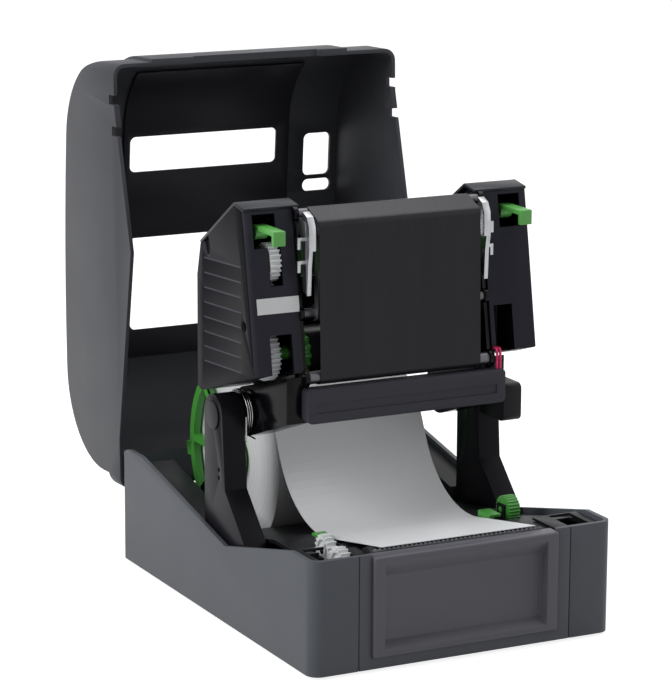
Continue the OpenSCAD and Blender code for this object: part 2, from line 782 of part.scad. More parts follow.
module frame_body() {
  front_in = panel_half + over;
  both_sides() {
    // Rail that follows the rim, and the wall that carries it
    prism_x([rail_in, case_in - gap], concat(rail_top, back(down(rail_top, sheet))));
    prism_x([rail_in, rail_in + sheet], concat([for (i = [1:len(rail_top) - 1]) rail_top[i]],
      [[knee_y - sheet, wall], [deck_y, wall]]));
    // Front deck beside the platen's well, with the bearing block of the platen
    slab([well_half, rail_in + sheet], [frame_front, well_back], [deck_z - sheet, deck_z]);
    slab([front_in, rail_in + sheet], [-half_d + wall + gap, well_back],
      [deck_z - sheet, deck_z]);
    slab([well_half, well_half + bearing_t], [frame_front, well_back], [bearing_z, deck_z]);
    slab([well_half, rail_in + sheet], [well_back - sheet, well_back],
      [bearing_z, deck_z]);
  }
  // Front and rear walls of the well
  slab([-well_half, well_half], [frame_front, well_front], [bearing_z + sheet, deck_z]);
  slab([-well_half, well_half], [well_back - sheet, well_back], [bearing_z, chute_high]);
  // Chute under the labels, down to the roll's bay
  prism_x([-rail_in, rail_in], concat(chute, back(down(chute, sheet))));
  // Bay of the roll
  intersection() {
    difference() {
      rod_x([-rail_in, rail_in], roll_at, bay_r + sheet);
      rod_x([-rail_in - over, rail_in + over], roll_at, bay_r);
    }
    slab([-rail_in, rail_in], [0, half_d], [wall, bay_end_z]);
  }
  // Feet of the bay on the case's floor
  for (x = [-rail_in / 2, rail_in / 2]) slab([x - sheet / 2, x + sheet / 2],
    [roll_y - bay_foot, roll_y + bay_foot], [wall, roll_z - bay_r - sheet / 2]);
  // Lugs that carry the guides' thumbwheel
  for (x = knob_lugs) slab([x, x + lug_plate], [knob_y - lug_half, knob_y + lug_half],
    [chute_low - sheet / 2, knob_z + lug_rise]);
  // Plate that carries the motor and the gears' stub axles
  slab(motor_plate_x, [motor_y - motor_side / 2 - plate_margin, motor_y + motor_side / 2],
    [wall, bearing_z]);
  slab(motor_plate_x, [drive_at[0] - plate_margin, drive_at[0] + plate_margin],
    [bearing_z - over, drive_at[1] + plate_margin]);
  // Posts for the case screws
  screw_places() translate([0, 0, wall]) cylinder(h = post_h, r = screw_head_r);
}

module case_feet() {
  color(black) foot_places() translate([0, 0, -foot_h]) cylinder(h = foot_h + foot_seat,
    r = foot_r);
}

module case_screws() {
  color(steel) screw_places() {
    translate([0, 0, gap]) cylinder(h = screw_head_h, r = screw_head_r);
    translate([0, 0, gap]) cylinder(h = screw_l, r = screw_r);
  }
}

module arm(side) {
  outline = [[-arm_r, 0], arm_flare, arm_toe, [arm_foot, arm_seat - pivot_z],
    [arm_r, arm_seat - pivot_z], [arm_r, 0]];
  difference() {
    union() {
      prism_x([arm_in, arm_out], outline);
      rod_x([arm_in, arm_out], [0, 0], arm_r);
      children();
    }
    rod_x([lobe_out - over, arm_out - pin_end], [0, 0], pivot_r + fit);
    for (at = arm_holes) rod_x([arm_out - 2 * arm_hole_r, arm_out + over], at, arm_hole_r);
  }
}
module arm_left() {
  color(black) at_pivot() mirror([1, 0, 0]) arm()
    rod_x([lobe_out + 2 * gap, arm_in + over], [0, 0], spring_boss_r);
}
module arm_right() {
  color(black) at_pivot() arm();
}
module arm_caps() {
  color(dark) at_pivot() both_sides() rod_x([arm_out, arm_out + cap_t], [0, 0], cap_r);
}

module cable_cover() {
  color(black) at_pivot() difference() {
    translate([arm_in + cover_step, 0, 0]) rotate([90, 0, 90]) linear_extrude(arm_t - cover_step)
      plate_2d([cover_front, 0], cover_z, cover_r);
    prism_x([arm_in - over, arm_out + over], [[-arm_r, 0], arm_flare, [arm_r, arm_flare[1]],
      [arm_r, 0]]);
    rod_x([arm_in - over, arm_out + over], [0, 0], arm_r);
  }
}

module mech_pivot_pins() {
  color(steel) at_pivot() both_sides() rod_x([lobe_in - 2 * over, arm_out - pin_end], [0, 0],
    pivot_r);
}
module lid_hinge_pins() {
  color(steel) both_sides() rod_x([lug_in - over, case_in - pin_boss_t], [hinge_y, hinge_z],
    lid_pin_r);
}

// Torsion spring: a leg down the arm, curls round the boss and a leg along the lobe
module hinge_spring() {
  rings = spring_turns * curl_rings;
  x0 = -arm_in + gap + spring_wire / 2;
  coil = [for (i = [0:rings]) let(a = 180 - 360 * i / curl_rings)
    [x0 + spring_pitch * i / curl_rings, spring_r * cos(a), spring_r * sin(a)]];
  last = coil[rings];
  path = concat([coil[0] + [0, 0, -spring_leg]], coil, [last + [0, -spring_leg, 0]]);
  least = min([for (i = [0:rings - curl_rings]) norm(coil[i + curl_rings] - coil[i])]);
  echo(spring_least_gap = least - spring_wire);
  color(steel) at_pivot() wire_along(path, spring_wire / 2);
}

module platen_bushes() {
  color(white) both_sides() difference() {
    rod_x([well_half, well_half + bearing_t], platen_at, bush_r);
    rod_x([well_half - over, well_half + bearing_t + over], platen_at, shaft_r + fit);
  }
}

module tear_bar() {
  steps = floor(2 * well_half / tear_pitch);
  half = steps * tear_pitch / 2;
  top = front_h + tear_rise;
  teeth = [for (i = [0:steps - 1]) for (s = [0, 0.5]) [-half + (i + s) * tear_pitch,
    top - (s == 0 ? tear_bite : 0)]];
  color(steel) translate([0, tear_y + tear_t, 0]) rotate([90, 0, 0]) linear_extrude(tear_t)
    polygon(concat([[-half, deck_z]], teeth, [[half, top - tear_bite], [half, deck_z]]));
}

module deck_end_plates() {
  end_in = well_half + bearing_t + over;
  color(black) difference() {
    both_sides() slab([end_in, arm_out], [-half_d + wall + over, well_back + plate_margin],
      [deck_z, deck_z + plate_t]);
    both_sides() slab([latch_in - latch_gap, latch_in + latch_w + latch_gap], latch_slot,
      [deck_z - over, deck_z + plate_t + over]);
    slab(gear_slot_x, gear_slot_y, [deck_z - over, deck_z + plate_t + over]);
    slab([motor_plate_x[0] - gap, motor_x + gap], [drive_at[0] - plate_margin - gap, 0],
      [deck_z - over, deck_z + plate_t + over]);
  }
}

module drive_motor() {
  half = motor_side / 2;
  color(steel) difference() {
    translate([motor_x, 0, 0]) rotate([90, 0, 90]) linear_extrude(motor_l) plate_2d(
      [motor_y - half, motor_y + half], [motor_z - half, motor_z + half], motor_round);
    rod_x([motor_x - over, motor_x + motor_l / 2], motor_at, motor_pin_r + fit);
  }
}

module main_board() {
  long = pcb_y[1] - pcb_y[0];
  color(green) {
    slab([-pcb_half, pcb_half], pcb_y, [pcb_z, pcb_z + pcb_t]);
    for (x = [-pcb_half + pcb_inset, pcb_half - pcb_inset])
      for (y = [pcb_y[0] + pcb_inset, pcb_y[1] - pcb_inset])
        translate([x, y, wall]) cylinder(h = pcb_z - wall, r = standoff_r);
    for (c = chip_shares) translate([-pcb_half + 2 * pcb_half * c[0], pcb_y[0] + long * c[1],
      pcb_z + pcb_t]) cube([2 * pcb_half * c[2], long * c[3], long * c[4]]);
  }
}

module rear_ports() {
  wall_y = half_d - wall;
  jack_half = jack_r + port_wall;
  rocker_y = half_d - rocker_axis;
  rocker_z = (switch_z[0] + switch_z[1]) / 2;
  color(black) {
    difference() {
      slab([usb_x[0] - port_wall, usb_x[1] + port_wall], [wall_y - port_deep, wall_y],
        [usb_z[0] - port_wall, usb_z[1] + port_wall]);
      slab(usb_x, [wall_y - port_deep + port_wall, wall_y + over], usb_z);
    }
    slab([usb_x[0] + 2 * port_wall, usb_x[1] - 2 * port_wall], [wall_y - port_deep, wall_y],
      [usb_z[0] + 2 * port_wall, usb_z[1] - 2 * port_wall]);
    difference() {
      slab([jack_at[0] - jack_half, jack_at[0] + jack_half], [wall_y - jack_deep, wall_y],
        [jack_at[1] - jack_half, jack_at[1] + jack_half]);
      rod_y([wall_y - jack_deep + port_wall, wall_y + over], jack_at, jack_r);
    }
    rod_y([wall_y - jack_deep, wall_y], jack_at, jack_pin_r);
    difference() {
      slab([switch_x[0] - port_wall, switch_x[1] + port_wall], [wall_y - switch_deep, wall_y],
        [switch_z[0] - port_wall, switch_z[1] + port_wall]);
      slab(switch_x, [wall_y - switch_deep + port_wall, wall_y + over], switch_z);
      rod_x([switch_x[0] - port_wall - over, switch_x[1] + port_wall + over],
        [rocker_y, rocker_z], rocker_pin_r + fit);
    }
    // Small board that carries the three, on the case's floor
    slab([usb_x[0] - port_wall, switch_x[1]], [wall_y - port_deep, wall_y - gap],
      [wall, switch_z[0] - port_wall]);
  }
}

module power_switch() {
  rocker_y = half_d - rocker_axis;
  rocker_z = (switch_z[0] + switch_z[1]) / 2;
  deep = -wall / 2;
  color(black) translate([0, rocker_y, rocker_z]) rotate([switch_lean, 0, 0]) {
    prism_x([switch_x[0] + gap, switch_x[1] - gap], [[deep, -rocker_half / 2],
      [rocker_axis, -rocker_half], [rocker_axis + rocker_rise, -rocker_half],
      [rocker_axis + gap, 0], [rocker_axis + rocker_rise, rocker_half],
      [rocker_axis, rocker_half], [deep, rocker_half / 2]]);
    rod_x([switch_x[0] - port_wall + gap, switch_x[1] + port_wall - gap], [0, 0], rocker_pin_r);
  }
}

module label_web() {
  color(paper) strip([-label_w / 2, label_w / 2], web_path, -paper_t);
}

module lid_shell() {
  low = valley_h;
  lift = rear_h + 3 * seam_gap;
  below = concat([[-half_d - 2 * hump_h, -over]], [[-half_d - 2 * hump_h, front_h + seam_gap]],
    [for (i = [1:3]) rim[i] + [0, seam_gap]], [[half_d + over, rear_h + seam_gap],
    [half_d + over, -over]]);
  inner_r = max(corner_r - lid_wall, over);
  color(grey) open_lid() difference() {
    union() {
      intersection() {
        prism_x([-half_w, half_w], lid_outline(0, low));
        linear_extrude(2 * lid_top) plate_2d([-half_w, half_w], [-half_d, half_d], corner_r);
      }
      // Raised middle of the front and the roof
      intersection() {
        prism_x(hump_x, lid_outline(-hump_h, low));
        slab(hump_x, [-half_d - 2 * hump_h, tail_y], [low, 2 * lid_top]);
      }
      // Proud tabs between the side notches
      both_sides() slab([half_w - lid_wall - notch_tab, half_w],
        [notch_shares[0] * half_d + notch_w / 2, notch_shares[1] * half_d - notch_w / 2],
        [low, front_h + notch_d]);
    }
    difference() {
      intersection() {
        prism_x([-half_w + lid_wall, half_w - lid_wall], lid_outline(lid_wall, low - over));
        linear_extrude(2 * lid_top) plate_2d([-half_w + lid_wall, half_w - lid_wall],
          [-half_d + lid_wall, half_d - lid_wall], inner_r);
      }
      both_sides() {
        slab([half_w - lid_wall - notch_tab, half_w],
          [notch_shares[0] * half_d + notch_w / 2, notch_shares[1] * half_d - notch_w / 2],
          [low, front_h + notch_d]);
        // Hinge lugs, joined to the side walls above the rim
        rod_x([lug_in, lug_in + lug_t], [hinge_y, hinge_z], lug_r);
        slab([lug_in, lug_in + lug_t], [hinge_y - lug_r, hinge_y + lug_r / 2],
          [hinge_z, lift + 2 * lug_r]);
        slab([lug_in, half_w], [hinge_y - lug_r, hinge_y + lug_r / 2], [lift, lift + 2 * lug_r]);
      }
    }
    // Everything below the seam, except the lugs
    difference() {
      prism_x([-half_w - over, half_w + over], below);
      both_sides() slab([lug_in, lug_in + lug_t], [hinge_y - lug_r, hinge_y + lug_r],
        [hinge_z - lug_r, lift]);
    }
    both_sides() rod_x([lug_in - over, lug_in + lug_t + over], [hinge_y, hinge_z],
      lid_pin_r + fit);
    // Windows, button hole and lens hole in the roof
    for (y = [front_window, rear_window]) translate([0, 0, nose_z]) linear_extrude(lid_top)
      plate_2d(window_x, y, hole_r);
    for (h = [button_hole, lens_hole]) translate([0, 0, nose_z]) linear_extrude(lid_top)
      plate_2d(h[0], h[1], hole_r);
    // Side notches and the finger notch at the front
    both_sides() for (s = notch_shares) slab([half_w - 2 * lid_wall, half_w + over],
      [s * half_d - notch_w / 2, s * half_d + notch_w / 2], [low, rim_z(s * half_d) + notch_d]);
    slab([-grip_half, grip_half], [-half_d - 2 * hump_h, -half_d + 2 * lid_wall],
      [low, front_h + grip_h]);
  }
}

module lid_liner() {
  color(dark) open_lid() intersection() {
    prism_x([-liner_half, liner_half], lid_layer(lid_wall, lid_wall + liner_t));
    difference() {
      slab([-liner_half, liner_half], liner_y, [nose_z, lid_top]);
      for (y = [front_window, rear_window]) linear_extrude(2 * lid_top) plate_2d(
        [window_x[0] + pane_lip, window_x[1] - pane_lip], [y[0] + pane_lip, y[1] - pane_lip],
        hole_r);
    }
  }
}

module lid_windows() {
  color("#f2f4f6") open_lid() intersection() {
    prism_x(window_x, lid_layer(lid_wall - pane_t, lid_wall));
    for (y = [front_window, rear_window]) linear_extrude(2 * lid_top) plate_2d(
      [window_x[0] + pane_gap, window_x[1] - pane_gap], [y[0] + pane_gap, y[1] - pane_gap],
      hole_r);
  }
}

module mech_frame() {
  lobe = [[-bar_seat, lobe_top], [-bar_seat, lobe_low], polar(lobe_r, 250), polar(lobe_r, 0),
    polar(lobe_r, 72)];
  neck = [[-0.8 * mech_f, lobe_low + lobe_r], [-0.8 * mech_f, block[6][1] + lobe_r],
    [block[5][0] - lobe_gap, block[5][1] + lobe_r], polar(lobe_r / 2, 30), [0, 0]];
  color(black) at_pivot() difference() {
    union() {
      both_sides() {
        prism_x([wall_in, wall_out], inset(block, wall_inset));
        prism_x([wall_in, wall_out], neck);
        prism_x([lobe_in, lobe_out], lobe);
        rod_x([lobe_in, lobe_out], [0, 0], lobe_r);
        rod_x([wall_in, wall_out], low_bar, low_bar_r + ear);
        rod_x([wall_in, wall_out], top_bar, top_bar_r + ear);
        rod_x([wall_in, wall_out], head_pivot, head_pin_r + ear);
      }
      // Bridge between the walls
      slab([-wall_in - over, wall_in + over], [mech_b - wall_inset - sheet, mech_b - wall_inset],
        bridge_z);
      // Axle of the gear between the spindles
      rod_x([spindle_gear_x - over / 2, -wall_in], link_at, link_pin_r);
    }
    both_sides() {
      rod_x([lobe_in - over, lobe_out + over], [0, 0], pivot_r + fit);
      rod_x([lobe_in - over, wall_in], low_bar, low_bar_r + fit);
      prism_x([lobe_in - over, wall_out + over], cap_outline());
    }
    for (at = [supply_at, rewind_at]) rod_x([-wall_out - over, wall_out + over], at,
      spindle_r + fit);
  }
}

// Side block, drawn on the right: a shell that is open towards the frame
module block_shell() {
  prism_x([wall_out, arm_out], block);
}
module block_hollow() {
  prism_x([wall_out - over, arm_out - block_wall], inset(block, block_wall));
}
module latch_opening() {
  slab([latch_in - latch_gap, latch_in + latch_w + latch_gap], [-mech_f, latch_at[0] - over],
    latch_window_shares * mech_l);
}
module latch_post() {
  rod_x([latch_in - over / 2, arm_out - block_wall / 2], latch_at, latch_pin_r);
}
module left_cover() {
  small_r = gear_r(rewind_teeth) + 2 * over;
  large_r = gear_r(supply_teeth) + 2 * over;
  color(black) at_pivot() mirror([1, 0, 0]) {
    difference() {
      block_shell();
      block_hollow();
      latch_opening();
      // Windows that show the two spindle gears
      slab([-spindle_gear_x - spindle_gear_t - over, -spindle_gear_x + over],
        [-mech_f, rewind_at[0]], [rewind_at[1] - small_r, rewind_at[1] + small_r]);
      slab([-spindle_gear_x - spindle_gear_t - 4 * over, -spindle_gear_x + 4 * over],
        [-mech_f - over, supply_at[0] + large_r], [supply_at[1] - large_r,
        supply_at[1] + large_r - over]);
      // Grooves on the outer face, which rise a little to the front
      for (i = [0:rib_n - 1]) translate([0, 0, rib_z + i * rib_pitch])
        prism_x([arm_out - rib_d, arm_out + over], [[rib_y[0], 0], [rib_y[0], rib_w],
          [rib_y[1], rib_w + rib_slope], [rib_y[1], rib_slope]]);
    }
    latch_post();
  }
}
module right_cover() {
  arc_r = relief_r + block_wall;
  color(black) at_pivot() {
    difference() {
      union() {
        difference() {
          block_shell();
          difference() {
            block_hollow();
            rod_x([relief_x - block_wall, arm_out], [0, 0], arc_r);
          }
        }
        // Walls of the pocket in the front face
        intersection() {
          slab([pocket_x[0] - pocket_wall, pocket_x[1] + pocket_wall],
            [-mech_f, pocket_y + pocket_wall],
            [pocket_z[0] - pocket_wall, pocket_z[1] + pocket_wall]);
          block_shell();
        }
      }
      // Clearance round the cable cover
      rod_x([relief_x, arm_out + over], [0, 0], relief_r);
      slab(pocket_x, [-mech_f - over, pocket_y], pocket_z);
      latch_opening();
      // Openings for the feed button and the lens in the rear wall
      plate_y([mech_b - 2 * block_wall, mech_b + over], [button_x[0], button_x[1]],
        [button_z - button_l / 2, button_z + button_l / 2], button_r);
      plate_y([mech_b - 2 * block_wall, mech_b + over], lens_x,
        [lens_z - lens_l / 2, lens_z + lens_l / 2], lens_r);
    }
    latch_post();
  }
}

// Outline of the cap over the two upper edges of a side block
function cap_outline() = let(front = block[0], top = block[1], rear = block[2],
  u = (rear - top) / norm(rear - top), w = (top - front) / norm(top - front),
  lift = block_cap_t * [-u[1], u[0]], rise = block_cap_t * [-w[1], w[0]])
  [front, front + rise, top + block_cap_t * (w - u) / cross(u, w), rear + lift, rear, top];
module top_caps() {
  color(dark) at_pivot() both_sides() prism_x([lobe_in, arm_out], cap_outline());
}

module sensor_bar() {
  front = -bar_seat - bar_d;
  color(black) at_pivot() difference() {
    plate_y([front, -bar_seat], bar_x, bar_z, bar_round);
    // Shallow channel along the front that divides it into two strips
    slab([bar_x[0] + 2 * bar_round, bar_x[1] - 2 * bar_round], [front - over, front + over],
      [bar_z[0] + bar_slot_h, bar_z[0] + 2 * bar_slot_h]);
  }
}

module ribbon_bars() {
  color(steel) at_pivot() {
    rod_x([-wall_in, wall_in], low_bar, low_bar_r);
    rod_x([-wall_in, wall_in], top_bar, top_bar_r);
    rod_x([-wall_in, wall_in], head_pivot, head_pin_r);
  }
}

// Bright sheet metal beside the ribbon: a plate on the frame, a curved blade and two hooks
module head_brackets() {
  color(steel) at_pivot() both_sides() difference() {
    union() {
      prism_x([wall_in - bracket_t, wall_in], in_mech(plate_shares));
      strip(bracket_x, bracket_path, -bracket_t);
      strip([bracket_x[1] - leg_w, bracket_x[1]], in_mech(leg_shares), -bracket_t);
      // Web that joins the blade and its leg to the plate
      prism_x([wall_in - bracket_t, bracket_x[1]],
        concat(in_mech([leg_shares[0], leg_shares[1]]), bracket_path, in_mech(web_shares)));
      // Each hook reaches out over the wall's front edge and hangs down
      for (at = in_mech(hook_shares)) {
        slab([wall_in - bracket_t, hook_out], [at[0] + bracket_t, at[0] + 2 * bracket_t],
          [at[1] + hook_l - hook_w, at[1] + hook_l]);
        slab([hook_out - hook_w, hook_out], [at[0] + bracket_t, at[0] + 2 * bracket_t],
          [at[1], at[1] + hook_l]);
      }
    }
    rod_x([bracket_x[0] - 2 * over, wall_in + over], top_bar, top_bar_r + fit);
  }
}

module sensor_wires() {
  bend_at = [-mech_f, bar_z[1] + wire_rise];
  front = concat([[bend_at[0] - wire_bend, bar_z[1]]],
    arc(bend_at, wire_bend, 180, 90, curl_rings), [[bend_at[0] + gap / 2, bend_at[1] + wire_bend]]);
  color("#c4175a") at_pivot() for (x = wire_x)
    wire_along([for (p = front) [x, p[0], p[1]]], wire_r);
}

module status_lens() {
  color("#d8ecd4") at_pivot() plate_y([mech_b - lens_t, mech_b], lens_x + [fit, -fit],
    [lens_z - lens_l / 2 + fit, lens_z + lens_l / 2 - fit], lens_r);
}

module ribbon_film() {
  color(film) at_pivot() strip([-ribbon_w / 2, ribbon_w / 2], film_path, film_t);
}

module heat_sink() {
  ears = sink_half - sink_ear_t;
  color(steel) at_pivot() difference() {
    union() {
      slab([-sink_half, sink_half], sink_y, sink_z);
      rod_x([-sink_half, sink_half], head_nose, nose_bar_r);
      both_sides() {
        rod_x([ears, sink_half], head_pivot, sink_ear_r);
        slab([ears, sink_half], sink_y, [head_pivot[1], sink_z[0] + over]);
      }
    }
    both_sides() rod_x([ears - over, sink_half + over], head_pivot, head_pin_r + fit);
    // Grooves between the fins at the back
    for (i = [-(fin_n - 1) / 2:(fin_n - 1) / 2]) slab([i * fin_pitch - fin_pitch / 2 + fin_t / 2,
      i * fin_pitch + fin_pitch / 2 - fin_t / 2], [sink_y[1] - fin_d, sink_y[1] + over],
      [sink_z[0] + fin_pitch, sink_z[1] - fin_pitch]);
  }
}

module printhead() {
  color("#d9d2bd") at_pivot() {
    slab([-board_half, board_half], [sink_y[0] - board_t, sink_y[0]], board_z);
    slab([-board_half, board_half], [sink_y[0] - ceramic_t, sink_y[0]],
      [board_z[1] - ceramic_h, board_z[1]]);
  }
}

// Spindle with its drum and a knobbed flange
module spindle(at, r, knobs) {
  at_pivot() {
    rod_x([spindle_gear_x, wall_out], at, spindle_r);
    rod_x([-hub_edge + hub_t, hub_edge - hub_t], at, ribbon_core_r);
    rod_x([-hub_edge, -hub_edge + hub_t], at, r);
    for (i = [1:knobs]) rod_x([-hub_edge, -hub_edge + hub_t], at + polar(r, i * 360 / knobs),
      hub_knob_r);
  }
}
module ribbon_roll(at, r) {
  at_pivot() difference() {
    rod_x([-ribbon_w / 2, ribbon_w / 2], at, r);
    rod_x([-ribbon_w, ribbon_w], at, ribbon_core_r);
  }
}
module spindle_gear(at, n, turn, bore) {
  at_pivot() gear([spindle_gear_x, spindle_gear_x + spindle_gear_t], at, n, turn, bore);
}
module supply_spindle() {
  color(green) spindle(supply_at, hub_r, hub_knobs);
}
module supply_ribbon() {
  color(film) ribbon_roll(supply_at, supply_r);
}
module supply_gear() {
  color(white) spindle_gear(supply_at, supply_teeth, 0, spindle_r);
}
module rewind_spindle() {
  color(green) spindle(rewind_at, hub_small_r, hub_small_knobs);
}
module rewind_ribbon() {
  color(film) ribbon_roll(rewind_at, rewind_r);
}
module rewind_gear() {
  color(white) spindle_gear(rewind_at, rewind_teeth, rewind_turn, spindle_r);
}
module ribbon_link_gear() {
  color(white) spindle_gear(link_at, link_teeth, link_turn, link_pin_r + fit);
}

// Latch: a round hub, an arm forward and a hook down at its end
module latch() {
  tip = latch_at[0] - latch_reach;
  top = latch_at[1] + latch_hub_r;
  color(green) at_pivot() difference() {
    union() {
      rod_x([latch_in, latch_in + latch_w], latch_at, latch_hub_r);
      slab([latch_in, latch_in + latch_w], [tip, latch_at[0]], [top - latch_t, top]);
      slab([latch_in, latch_in + latch_w], [tip, tip + latch_t], [top - latch_drop, top]);
    }
    rod_x([latch_in - over, latch_in + latch_w + over], latch_at, latch_pin_r + fit);
  }
}
module latch_left() {
  mirror([1, 0, 0]) latch();
}
module latch_right() {
  latch();
}

module feed_button() {
  half = button_l / 2;
  inner = mech_b - block_wall;
  color(dark) at_pivot() {
    plate_y([inner - button_lip_t, mech_b + button_proud], button_x + [gap, -gap],
      [button_z - half + gap, button_z + half - gap], button_r);
    slab(button_x + [-over, over] * (button_lip / over), [inner - button_lip_t, inner],
      [button_z - half - button_lip, button_z + half + button_lip]);
  }
}

module platen_roller() {
  color("#1b1b1d") difference() {
    rod_x([-rubber_half, rubber_half], platen_at, platen_r);
    rod_x([-rubber_half - over, rubber_half + over], platen_at, shaft_r);
  }
}
module platen_shaft() {
  color(steel) rod_x([gear_x - over / 2, well_half + bearing_t + over], platen_at, shaft_r);
}
module platen_gear() {
  color(white) gear([gear_x, gear_x + gear_t], platen_at, platen_teeth, 0, shaft_r);
}
module motor_pinion() {
  color(white) gear([gear_x, gear_x + gear_t], motor_at, pinion_teeth, pinion_turn,
    motor_pin_r / 2);
  color(white) rod_x([gear_x, motor_x + motor_l / 2 - over], motor_at, motor_pin_r);
}
module drive_idler() {
  color(white) gear([gear_x, gear_x + gear_t], idler_at, idler_teeth, idler_turn, stub_r + fit);
}
module ribbon_drive_gear() {
  color(white) gear([gear_x, gear_x + gear_t], drive_at, drive_teeth, drive_turn, stub_r + fit);
}

// Roll holder, drawn on the right: hub with a spigot, spokes, a ring sector, lever and foot
module roll_holder() {
  x = [holder_in, holder_in + holder_t];
  color(green) translate([0, roll_y, roll_z]) {
    rod_x([holder_in - hub_spigot, holder_in], [0, 0], core_r - gap);
    rod_x(x, [0, 0], holder_hub_r);
    prism_x(x, concat(arc([0, 0], roll_r, ring_angles[0], ring_angles[1], arc_steps),
      arc([0, 0], ring_in, ring_angles[1], ring_angles[0], arc_steps)));
    for (a = spoke_angles) rotate([a, 0, 0]) slab(x, [holder_hub_r - over, ring_in + over],
      [-spoke_w / 2, spoke_w / 2]);
    rotate([lever_angle, 0, 0]) slab(x, [ring_in + over, lever_r], [-lever_w / 2, lever_w / 2]);
    slab(x, [holder_slot_run - foot_slim, holder_slot_run + foot_slim],
      [roll_r * sin(ring_angles[0]) - foot_reach, ring_in * sin(ring_angles[0]) - over]);
  }
}
module roll_holder_left() {
  mirror([1, 0, 0]) roll_holder();
}
module roll_holder_right() {
  roll_holder();
}

module label_roll() {
  color(paper) difference() {
    rod_x([-label_w / 2, label_w / 2], roll_at, roll_r);
    rod_x([-label_w, label_w], roll_at, core_r + core_t);
  }
}
module roll_core() {
  color("#a98f6c") difference() {
    rod_x([-label_w / 2, label_w / 2], roll_at, core_r + core_t);
    rod_x([-label_w, label_w], roll_at, core_r);
  }
}

// Label guide, drawn on the right: an upstand with a flange and a stem through the chute
module guide() {
  x = label_w / 2 + guide_clear;
  z = chute_low + guide_float;
  color(green) {
    slab([x, x + guide_t], guide_y, [z, z + guide_h]);
    slab([x, x + guide_t + guide_flange], guide_y, [z + guide_h - guide_rib, z + guide_h]);
    slab([x + stem_t / 2, x + 3 * stem_t / 2], [stem_y[0] + gap, stem_y[1] - gap],
      [chute_low - 2 * sheet, z + over]);
  }
}
module guide_left() {
  mirror([1, 0, 0]) guide();
}
module guide_right() {
  guide();
}
module guide_knob() {
  root = knob_r - knurl_d;
  color(green) {
    prism_x([knob_x, knob_x + knob_t], toothed([knob_y, knob_z], knob_teeth, 0,
      [[-0.3, root], [-0.2, knob_r], [0.2, knob_r], [0.3, root]]));
    rod_x([knob_x - gap - lug_plate, knob_x + knob_t + gap + lug_plate], [knob_y, knob_z],
      stub_r);
  }
}

module media_sensor() {
  y = sensor_slot_y + gap;
  deep = 3 * sheet;
  color(black) {
    slab([-sensor_w, sensor_w], [y, y + sensor_slot_w - 2 * gap],
      [chute_high - deep, chute_high + over / 2]);
    slab([-sensor_w, sensor_w], [sensor_slot_y - 2 * over, sensor_slot_y + sensor_slot_w + 2 * over],
      [chute_high + guide_float, chute_high + guide_float + over]);
  }
}

lower_case();
inner_frame();
front_panel();
case_feet();
case_screws();
arm_left();
arm_right();
arm_caps();
cable_cover();
mech_pivot_pins();
lid_hinge_pins();
hinge_spring();
platen_bushes();
tear_bar();
deck_end_plates();
drive_motor();
main_board();
rear_ports();
label_web();
lid_shell();
lid_liner();
lid_windows();
mech_frame();
left_cover();
right_cover();
top_caps();
sensor_bar();
ribbon_bars();
head_brackets();
sensor_wires();
status_lens();
ribbon_film();
printhead();
heat_sink();
supply_spindle();
supply_ribbon();
supply_gear();
rewind_spindle();
rewind_ribbon();
rewind_gear();
ribbon_link_gear();
latch_left();
latch_right();
feed_button();
power_switch();
platen_roller();
platen_shaft();
platen_gear();
motor_pinion();
drive_idler();
ribbon_drive_gear();
roll_holder_left();
roll_holder_right();
label_roll();
roll_core();
guide_left();
guide_right();
guide_knob();
media_sensor();
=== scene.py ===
import json
import math

import bmesh
import bpy
from mathutils import Matrix, Vector


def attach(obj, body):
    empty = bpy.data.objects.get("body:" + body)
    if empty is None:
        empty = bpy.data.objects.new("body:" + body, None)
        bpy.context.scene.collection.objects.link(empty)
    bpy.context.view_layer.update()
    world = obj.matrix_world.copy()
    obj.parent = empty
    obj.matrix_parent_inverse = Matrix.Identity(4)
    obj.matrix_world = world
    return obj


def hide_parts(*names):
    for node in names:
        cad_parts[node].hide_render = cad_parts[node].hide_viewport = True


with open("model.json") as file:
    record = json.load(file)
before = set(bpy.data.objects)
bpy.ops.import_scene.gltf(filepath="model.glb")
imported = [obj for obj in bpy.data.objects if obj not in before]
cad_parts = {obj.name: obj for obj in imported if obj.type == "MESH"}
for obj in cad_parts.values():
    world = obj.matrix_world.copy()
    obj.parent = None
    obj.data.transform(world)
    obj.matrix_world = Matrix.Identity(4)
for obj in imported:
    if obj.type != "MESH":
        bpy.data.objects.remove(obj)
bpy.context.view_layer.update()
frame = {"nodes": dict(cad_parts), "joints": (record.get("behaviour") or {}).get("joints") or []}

nodes = frame["nodes"]
scene = bpy.context.scene


# ---- Floor, lamps and camera --------------------------------------------------------------
# The printer stands on a wide pale floor in soft studio light, a big lamp on its left, a
# weaker one on its right and one above, and the camera looks at its front left corner.

def linear(rgb):
    """A colour given as it looks on screen, 0 to 255, as the light value that Blender wants."""
    return tuple(((c / 255 + 0.055) / 1.055) ** 2.4 if c > 10 else c / 255 / 12.92
                 for c in rgb) + (1.0,)


def from_net(net, name):
    """A new object from a bmesh, linked to the scene."""
    mesh = bpy.data.meshes.new(name)
    net.to_mesh(mesh)
    net.free()
    thing = bpy.data.objects.new(name, mesh)
    scene.collection.objects.link(thing)
    return thing


